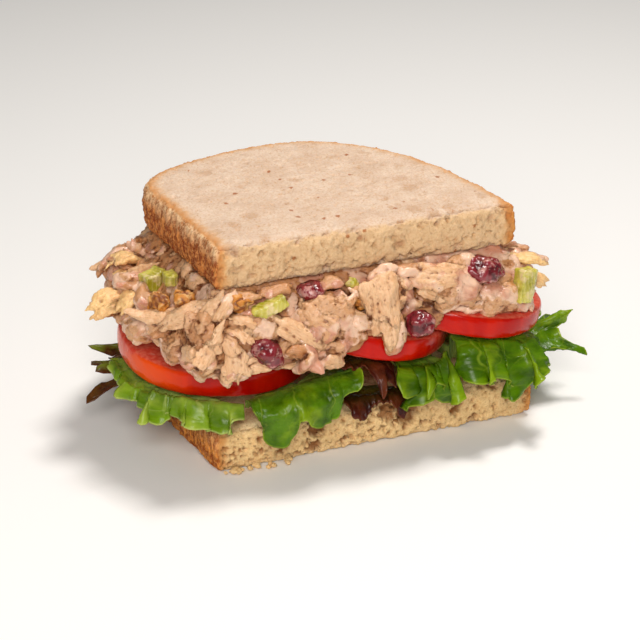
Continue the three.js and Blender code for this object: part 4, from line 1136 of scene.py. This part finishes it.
def chicken_finish(nodes, breast, mayonnaise):
    """Fibrous meat with painted shade in its hollows, its deep crevices and on its low tones, with pink and
    cream dressing over some of it.
    """
    place = nodes.object_place()
    grain = nodes.stored("grain", "Vector")
    dressing = nodes.stored("dressing")
    hollow = nodes.stored("hollow")
    deep = nodes.stored("deep")
    tone = nodes.stored("tone")
    long = nodes.stretched(grain, 0.14, 1.0, 1.0)
    streaks = nodes.noise(long, 0.6, 3, 0.6)
    # Low tones are partly the meat's own darker tones and partly painted shade deep in the heap; the lowest,
    # on the core, is painted shade.
    meat = nodes.mix(tone.rising(0.15, 0.85), tint("b87c4e"), breast)
    meat = nodes.mix(tone.falling(-0.2, 0.25), meat, tint("bc8458"))
    golden = tone.rising(1.0, 1.2)
    meat = nodes.mix(golden * 0.8, meat, tint("fad08a"))
    patches = nodes.noise(place, 5, 3).rising(0.45, 0.65)
    meat = nodes.mix(patches * 0.35, meat, tint("d4965e"))
    meat = nodes.mix(streaks.rising(0.4, 0.75) * 0.35, meat, tint("bc7e44"))
    blush = nodes.noise(place, 9, 2).rising(0.42, 0.6)
    cream = nodes.mix(blush, mayonnaise, tint("cc8e74"))
    sauce = (dressing + (nodes.noise(place, 1.4, 3, 0.6) - 0.5) * 0.8).rising(0.35, 0.75)
    colour = nodes.mix(sauce * 0.85, meat, cream)
    shade = 0.92 - sauce * 0.3 - golden * 0.3
    # Painted shade in the small hollows and the deep crevices.
    colour = nodes.mix(hollow.rising(0.0, 0.32) * shade, colour, tint("884610"))
    colour = nodes.mix(deep.rising(-0.05, 0.7) * shade, colour, tint("663004"))
    browned = nodes.noise(nodes.moved(place, 90.0, 0.0, 0.0), 5, 3).rising(0.64, 0.72)
    colour = nodes.mix(browned * 0.5, colour, tint("b4702c"))
    pepper = nodes.cells(nodes.moved(place, 0.0, 30.0, 0.0), 6).falling(0.03, 0.055)
    colour = nodes.mix(pepper * 0.8, colour, tint("5c3a1c"))
    height = streaks * (1 - sauce * 0.7) + nodes.noise(place, 0.8, 3) * 0.6
    normal = nodes.bump(height, 0.45, 0.9)
    return nodes.surface(colour, 0.36 - sauce * 0.16, normal, 0.65, under=(0.1, 1.2, (1.0, 0.5, 0.25)))


def model_salad(name, parts, grains, fibre, softening, strong):
    """Fuses parts into one piece, with fibres down to the size of fibre that run as in grains."""
    piece = join(name, parts)
    modify(piece, "REMESH", mode="VOXEL", voxel_size=fibre)
    modify(piece, "SMOOTH", factor=0.6, iterations=softening)
    carve(piece, salad_relief, grains, strong)
    thin_to(piece, SALAD_TRIANGLES)
    return piece


# ------------------------------------------------------------------ fruit, celery and nuts


def berry_relief(nodes, geometry, seed):
    """Deep wrinkles in a plump skin."""
    place = nodes.moved(surface_place(nodes), seed * 13.0, 0.0, 0.0)
    bent = nodes.warped(place, 2.5, 1, 2.0)
    folds = (nodes.noise(bent, 5.0, 1, 0.5) - 0.5).size() * 2
    soft = nodes.noise(place, 4, 1) - 0.5
    geometry = kept(nodes, geometry, "fold", folds)
    return pushed(nodes, geometry, folds.least(0.3) * 1.9 + 0.3 + soft * 1.2)


def berry_finish(nodes, ripe):
    """Dark red skin with painted shade in the creases of its folds, and pale smears of dressing, partly a
    painted sheen.
    """
    place = nodes.object_place()
    fold = nodes.stored("fold")
    # Painted shade: darkest where the folds crease in.
    skin = nodes.mix(fold.rising(0.0, 0.2), tint("4a0a12"), ripe)
    skin = nodes.mix(nodes.noise(place, 4.5, 2).rising(0.45, 0.65) * 0.6, skin, tint("93303a"))
    # Pale smears: partly dressing, partly painted sheen.
    smear = nodes.noise(nodes.moved(place, 5.0, 0.0, 9.0), 3.8, 3, 0.6).rising(0.52, 0.66)
    colour = nodes.mix(smear * 0.6, skin, tint("dca89c"))
    normal = nodes.bump(nodes.noise(place, 0.8, 3), 0.25, 0.6)
    under = (0.1, 1.5, (1.0, 0.2, 0.2))
    return nodes.surface(colour, 0.2 + smear * 0.2, normal, under=under, film=(0.4, 0.15))


def celery_strings(nodes, place):
    """Waves between -1 and 1 across the strings."""
    x, y, _ = nodes.parts(place)
    return ((x * 0.9 + y * 0.5) * 4.4 + nodes.noise(place, 3, 1) * 3).sine()


def celery_relief(nodes, geometry, seed):
    """Fine strings along an uneven dice."""
    place = surface_place(nodes)
    strings = celery_strings(nodes, place)
    return pushed(nodes, geometry, strings * 0.07 + (nodes.noise(place, 2.8, 2) - 0.5) * 1.1)


def celery_finish(nodes, brighter):
    """Wet green flesh with paler strings and smears of dressing."""
    place = nodes.object_place()
    strings = celery_strings(nodes, place)
    flesh = nodes.mix(nodes.noise(place, 4, 2).rising(0.35, 0.65), tint("a09820"), brighter)
    flesh = nodes.mix(strings.rising(0.2, 1.0) * 0.3, flesh, tint("d8d07c"))
    smear = nodes.noise(nodes.moved(place, 3.0, 8.0, 0.0), 4.2, 3, 0.6).rising(0.5, 0.66)
    colour = nodes.mix(smear * 0.6, flesh, tint("e8cfa8"))
    normal = nodes.bump(nodes.noise(place, 0.7, 3), 0.2, 0.6)
    under = (0.3, 2, (0.8, 1.0, 0.3))
    return nodes.surface(colour, 0.28 + smear * 0.15, normal, under=under, film=(0.3, 0.2))


def walnut_relief(nodes, geometry, seed):
    """Winding furrows of a kernel."""
    place = nodes.moved(surface_place(nodes), seed * 19.0, 0.0, 0.0)
    bent = nodes.warped(place, 3, 1, 2.6)
    ridges = (nodes.noise(bent, 4.0, 1) - 0.5).size() * 2
    geometry = kept(nodes, geometry, "ridge", ridges)
    rough = (nodes.noise(place, 2.6, 3) - 0.5) * 2.0
    return pushed(nodes, geometry, ridges.least(0.4) * 2.2 - 0.5 + rough)


def walnut_finish(nodes, dry):
    """Brown skin, dark in its furrows and rubbed pale in places."""
    place = nodes.object_place()
    ridge = nodes.stored("ridge")
    skin = nodes.mix(ridge.rising(0.02, 0.3), tint("7c4012"), dry)
    skin = nodes.mix(nodes.noise(place, 2.6, 3).rising(0.48, 0.66) * 0.8, skin, tint("e4b470"))
    normal = nodes.bump(nodes.noise(place, 0.6, 3), 0.25, 0.8)
    rough = 0.45 + nodes.noise(place, 1.5, 2) * 0.2
    return nodes.surface(skin, rough, normal, under=(0.08, 1.5, (1.0, 0.5, 0.2)), film=(0.1, 0.3))


def floor_finish(nodes, colour):
    return nodes.surface(colour, 0.7, shine=0.2)


def add_light(name, place, size, power):
    """A soft square light that shines at the sandwich."""
    bpy.ops.object.light_add(type="AREA", location=place)
    light = bpy.context.object
    light.name = name
    light.data.size = size
    light.data.energy = power
    light.data.color = (1.0, 0.96, 0.92)
    light.rotation_euler = (AIM - place).to_track_quat("-Z", "Y").to_euler()


def model_inclusion(node, suffix, fineness, seed, shape, finish):
    """A berry, dice or kernel over its plain solid, with detail down to fineness, in mm."""
    piece = copy_of(node, node + suffix)
    modify(piece, "REMESH", mode="VOXEL", voxel_size=fineness * MM)
    modify(piece, "SMOOTH", factor=0.5, iterations=4)
    carve(piece, shape, seed)
    hand_over(piece, [node], finish)


# ------------------------------------------------------------------ settings


# The hollow colour and the deepening share are painted shade in the pores and hollows of the crumb.
TOP_SLICE = dict(
    tints(
        pale="e8d0ba", cream="dcc0a8", cut="e6c08e", tan="cc9c6a",
        hollow="b0783e", bran="a4581c", burnt="8a3c12", baked="d88844",
    ),
    shade_strength=0.6,
    # Painted light on the crust at the left starts at the first of these heights and is full at the second.
    crust_heights=(77, 84),
)
BOTTOM_SLICE = dict(
    tints(
        pale="fce0b2", cream="f0cc98", cut="fcd698", tan="d49a5c",
        hollow="94561c", bran="7c4a1e", burnt="a04c10", baked="f09a40",
    ),
    shade_strength=0.8,
    # Painted light on the crust at the left starts at the first of these heights and is full at the second.
    crust_heights=(6, 26),
)
GREEN = tints(
    deep="3e6202", leaf="5e8a04", bright="94b414", vein="a4bc34",
    heart="bcc870", edge="b8cc3c", through="72a804",
)
# Painted light: a lighter copy of the green leaves' colours for the front left leaf, which hangs in the
# tomato's shade.
LIT_GREEN = tints(
    deep="5c8006", leaf="82a812", bright="c0d44c", vein="c8d870",
    heart="ccd488", edge="dce484", through="8cc010",
)
RUSSET = tints(
    deep="54240e", leaf="6e4418", bright="8ea02c", vein="9c8a3c",
    heart="7c9a2c", edge="5a2412", through="8a6a14",
)
RED = tints(
    deep="300a06", leaf="4a140c", bright="7a3a1c", vein="8a4a2c",
    heart="7c8428", edge="7a3a1e", through="8a3010",
)


def paint(name, of, colour):
    """A colour that the sidebar shows."""
    about = dict(name=name, description=f"Colour of {of}", subtype="COLOR")
    return FloatVectorProperty(default=colour, size=4, min=0, max=1, **about)


def measure(name, description, default, subtype="DISTANCE"):
    """A measure that the sidebar shows: a length in metres, an angle in radians or a power."""
    about = dict(name=name, description=description, subtype=subtype)
    return FloatProperty(default=default, precision=5, **about)


class BreadSettings(bpy.types.PropertyGroup):
    """Bread"""

    pore: measure("Finest pore", "Size of the smallest pore that is modelled", 0.52 * MM)
    crumbs: IntProperty(name="Crumbs", description="Loose crumbs by the bottom slice", default=16, min=1)
    top_face: paint("Top face", "the top slice's face", TOP_SLICE["pale"])
    top_cut: paint("Top cut", "the top slice's cut crumb", TOP_SLICE["cut"])
    top_crust: paint("Top crust", "the top slice's baked crust", TOP_SLICE["baked"])
    bottom_cut: paint("Bottom cut", "the bottom slice's cut crumb", BOTTOM_SLICE["cut"])
    bottom_crust: paint("Bottom crust", "the bottom slice's baked crust", BOTTOM_SLICE["baked"])


class TomatoSettings(bpy.types.PropertyGroup):
    """Tomato"""

    skin: paint("Skin", "the ripest of the skin", tint("c81a03"))
    flesh: paint("Flesh", "the palest of the flesh", tint("de6a54"))


class LeafSettings(bpy.types.PropertyGroup):
    """Lettuce"""

    thick: measure("Leaf thickness", "Thickness of a leaf", 0.45 * MM)
    green: paint("Green", "the green leaves", GREEN["leaf"])
    # Painted light: the front left leaf is given a lighter green where it hangs in the tomato's shade.
    lit_green: paint("Pale green", "the pale leaf at the front left", LIT_GREEN["leaf"])
    russet: paint("Russet", "the russet leaf at the left", RUSSET["leaf"])
    red: paint("Red", "the red leaves", RED["leaf"])


class SaladSettings(bpy.types.PropertyGroup):
    """Chicken salad"""

    fibre: measure("Finest fibre", "Size of the smallest fibre that is modelled", 0.55 * MM)
    strips: IntProperty(name="Strips", description="Torn strips tried on the heap", default=1300, min=8)
    meat: paint("Meat", "the palest meat", tint("e8bc90"))
    dressing: paint("Dressing", "the palest dressing", tint("ecc6aa"))


class InclusionSettings(bpy.types.PropertyGroup):
    """Cranberries, celery and walnuts"""

    cranberry: paint("Cranberry", "the cranberries' folds", tint("781620"))
    celery: paint("Celery", "the palest celery", tint("cabe52"))
    walnut: paint("Walnut", "the walnuts' ridges", tint("c8802e"))


class StageSettings(bpy.types.PropertyGroup):
    """Camera and light"""

    azimuth: measure("Azimuth", "Turn of the camera round the middle", math.radians(-22.02), "ANGLE")
    elevation: measure("Elevation", "Height angle of the camera", math.radians(25), "ANGLE")
    distance: measure("Distance", "From the camera to the middle of the sandwich", 0.75)
    lens: FloatProperty(name="Lens", description="Focal length in mm", default=116.54, min=1)
    key: measure("Key light", "Light from above", 5.6, "POWER")
    fill: measure("Fill light", "Light from the front left", 7.0, "POWER")
    room: FloatProperty(name="Room light", description="Light from all round", default=0.16, min=0)
    floor: paint("Floor", "the floor", (0.92, 0.915, 0.9, 1.0))


# ------------------------------------------------------------------ operators


class SANDWICH_OT_bread(bpy.types.Operator):
    """Model both slices of bread"""

    bl_idname = "sandwich.bread"
    bl_label = "Bread"

    def execute(self, context):
        settings = context.scene.sandwich_bread
        top = {**TOP_SLICE, "pale": settings.top_face, "cut": settings.top_cut}
        top["baked"] = settings.top_crust
        bottom = {**BOTTOM_SLICE, "cut": settings.bottom_cut, "baked": settings.bottom_crust}
        model_slice("bread_bottom", "bottom_slice", 1, settings.pore, 1.0, bottom)
        model_slice("bread_top", "top_slice", 2, settings.pore, 0.55, top)
        model_crumbs(settings.crumbs, new_finish("crumbs", bread_finish, bottom, 3))
        return {"FINISHED"}


class SANDWICH_OT_tomato(bpy.types.Operator):
    """Model the three tomato slices"""

    bl_idname = "sandwich.tomato"
    bl_label = "Tomato"

    def execute(self, context):
        settings = context.scene.sandwich_tomato
        for seed, node in enumerate(TOMATOES):
            finish = new_finish(node + "_skin", tomato_finish, settings.skin, settings.flesh, seed)
            model_tomato(node, finish, seed)
        return {"FINISHED"}


class SANDWICH_OT_lettuce(bpy.types.Operator):
    """Model the green and the red leaves"""

    bl_idname = "sandwich.lettuce"
    bl_label = "Lettuce"

    def execute(self, context):
        settings = context.scene.sandwich_lettuce
        green = {**GREEN, "leaf": settings.green}
        red = {**RED, "leaf": settings.red}
        special = {
            "lettuce_front_left": {**LIT_GREEN, "leaf": settings.lit_green},
            "lettuce_red_left": {**RUSSET, "leaf": settings.russet},
        }
        for seed, node in enumerate(LEAVES):
            is_red = "red" in node
            colours = special.get(node, red if is_red else green)
            finish = new_finish(node + "_blade", leaf_finish, colours, seed)
            model_leaf(node, seed, settings.thick, finish)
        return {"FINISHED"}


class SANDWICH_OT_salad(bpy.types.Operator):
    """Model the heap of torn chicken in dressing"""

    bl_idname = "sandwich.salad"
    bl_label = "Chicken salad"

    def execute(self, context):
        settings = context.scene.sandwich_salad
        heap = copy_of("chicken_salad", "salad_heap")
        store_vectors(heap, "grain", points_of(heap) / MM)
        # The core gets the lowest tone, which the finish paints as shade deep in the heap.
        store_numbers(heap, "tone", np.full(len(heap.data.vertices), -0.2))
        lumps = []
        for i, (at, half, yaw, pitch) in enumerate(CHUNKS):
            turn = turned(yaw, pitch).to_3x3()
            lumps.append((at, turn.col[0], turn.col[2], half, 0.1, 0.12, 4, 0.0, 0.5, 300 + i))
        torn = [(*plate, 400 + i) for i, plate in enumerate(TORN)]
        sizes = STRIPS.values()
        broad, middle, small = (strips(heap, settings.strips // part, *rest) for part, *rest in sizes)
        heaped = plates_mesh("heaped", lumps + middle, 3)
        shreds = plates_mesh("shreds", small, 3)
        laid = plates_mesh("laid", torn + broad, 4)
        grains = join("grains", [double_of(piece) for piece in (heap, heaped, shreds, laid)])
        finish = new_finish("chicken", chicken_finish, settings.meat, settings.dressing)
        core = model_salad("salad_heap", [heap, heaped, shreds], grains, settings.fibre, 6, 0.75)
        plates = model_salad("torn_chicken", [laid], grains, settings.fibre * 0.82, 3, 0.5)
        bpy.data.objects.remove(grains)
        hand_over(core, ["chicken_salad"], finish)
        hand_over(plates, ["chicken_salad"], finish)
        return {"FINISHED"}


class SANDWICH_OT_inclusions(bpy.types.Operator):
    """Model the cranberries, celery and walnuts"""

    bl_idname = "sandwich.inclusions"
    bl_label = "Cranberries, celery and walnuts"

    def execute(self, context):
        settings = context.scene.sandwich_inclusions
        berry = new_finish("cranberry_skin", berry_finish, settings.cranberry)
        stick = new_finish("celery_flesh", celery_finish, settings.celery)
        nut = new_finish("walnut_skin", walnut_finish, settings.walnut)
        for seed, node in enumerate(BERRIES):
            model_inclusion(node, "_fruit", FOLD, seed, berry_relief, berry)
        for seed, node in enumerate(CELERY):
            model_inclusion(node, "_dice", RIDGE, seed, celery_relief, stick)
        for seed, node in enumerate(WALNUTS):
            model_inclusion(node, "_kernel", RIDGE, seed, walnut_relief, nut)
        return {"FINISHED"}


class SANDWICH_OT_stage(bpy.types.Operator):
    """Set the floor, the light and the camera"""

    bl_idname = "sandwich.stage"
    bl_label = "Stage"

    def execute(self, context):
        settings = context.scene.sandwich_stage
        bpy.ops.object.select_all(action="DESELECT")
        bpy.ops.mesh.primitive_plane_add(size=6, location=(0, 0, -0.0004))
        floor = bpy.context.object
        floor.name = "floor"
        floor.data.materials.append(new_finish("floor", floor_finish, settings.floor))
        world = bpy.data.worlds.new("studio")
        context.scene.world = world
        world.use_nodes = True
        background = world.node_tree.nodes["Background"].inputs
        background["Color"].default_value = (1.0, 0.98, 0.95, 1.0)
        background["Strength"].default_value = settings.room
        context.scene.view_settings.view_transform = "Standard"
        add_light("key", KEY_PLACE, 0.2, settings.key)
        add_light("fill", FILL_PLACE, 0.42, settings.fill)
        level = math.cos(settings.elevation)
        rise = math.sin(settings.elevation)
        turn = settings.azimuth
        back = Vector((math.sin(turn) * level, -math.cos(turn) * level, rise))
        bpy.ops.object.camera_add(location=AIM + back * settings.distance)
        camera = bpy.context.object
        camera.rotation_euler = (-back).to_track_quat("-Z", "Y").to_euler()
        camera.data.lens = settings.lens
        camera.data.sensor_width = 36
        camera.data.clip_start = 0.01
        context.scene.camera = camera
        return {"FINISHED"}


class SANDWICH_PT_panel(bpy.types.Panel):
    """Sandwich pieces"""

    bl_label = "Sandwich"
    bl_idname = "SANDWICH_PT_panel"
    bl_space_type = "VIEW_3D"
    bl_region_type = "UI"
    bl_category = "Sandwich"

    def draw(self, context):
        for operator in OPERATORS:
            self.layout.operator(operator.bl_idname)
        for name, group in SETTINGS.items():
            self.layout.label(text=group.__doc__)
            for setting in group.__annotations__:
                self.layout.prop(getattr(context.scene, name), setting)


OPERATORS = (
    SANDWICH_OT_bread,
    SANDWICH_OT_tomato,
    SANDWICH_OT_lettuce,
    SANDWICH_OT_salad,
    SANDWICH_OT_inclusions,
    SANDWICH_OT_stage,
)
SETTINGS = {
    "sandwich_bread": BreadSettings,
    "sandwich_tomato": TomatoSettings,
    "sandwich_lettuce": LeafSettings,
    "sandwich_salad": SaladSettings,
    "sandwich_inclusions": InclusionSettings,
    "sandwich_stage": StageSettings,
}


def register():
    for group in SETTINGS.values():
        bpy.utils.register_class(group)
    for operator in OPERATORS:
        bpy.utils.register_class(operator)
    bpy.utils.register_class(SANDWICH_PT_panel)
    for name, group in SETTINGS.items():
        setattr(bpy.types.Scene, name, PointerProperty(type=group))


def unregister():
    for name in SETTINGS:
        delattr(bpy.types.Scene, name)
    bpy.utils.unregister_class(SANDWICH_PT_panel)
    for operator in reversed(OPERATORS):
        bpy.utils.unregister_class(operator)
    for group in reversed(SETTINGS.values()):
        bpy.utils.unregister_class(group)


def main():
    register()
    bpy.ops.sandwich.bread()
    bpy.ops.sandwich.tomato()
    bpy.ops.sandwich.lettuce()
    bpy.ops.sandwich.salad()
    bpy.ops.sandwich.inclusions()
    bpy.ops.sandwich.stage()
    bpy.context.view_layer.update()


if __name__ == "__main__":
    main()
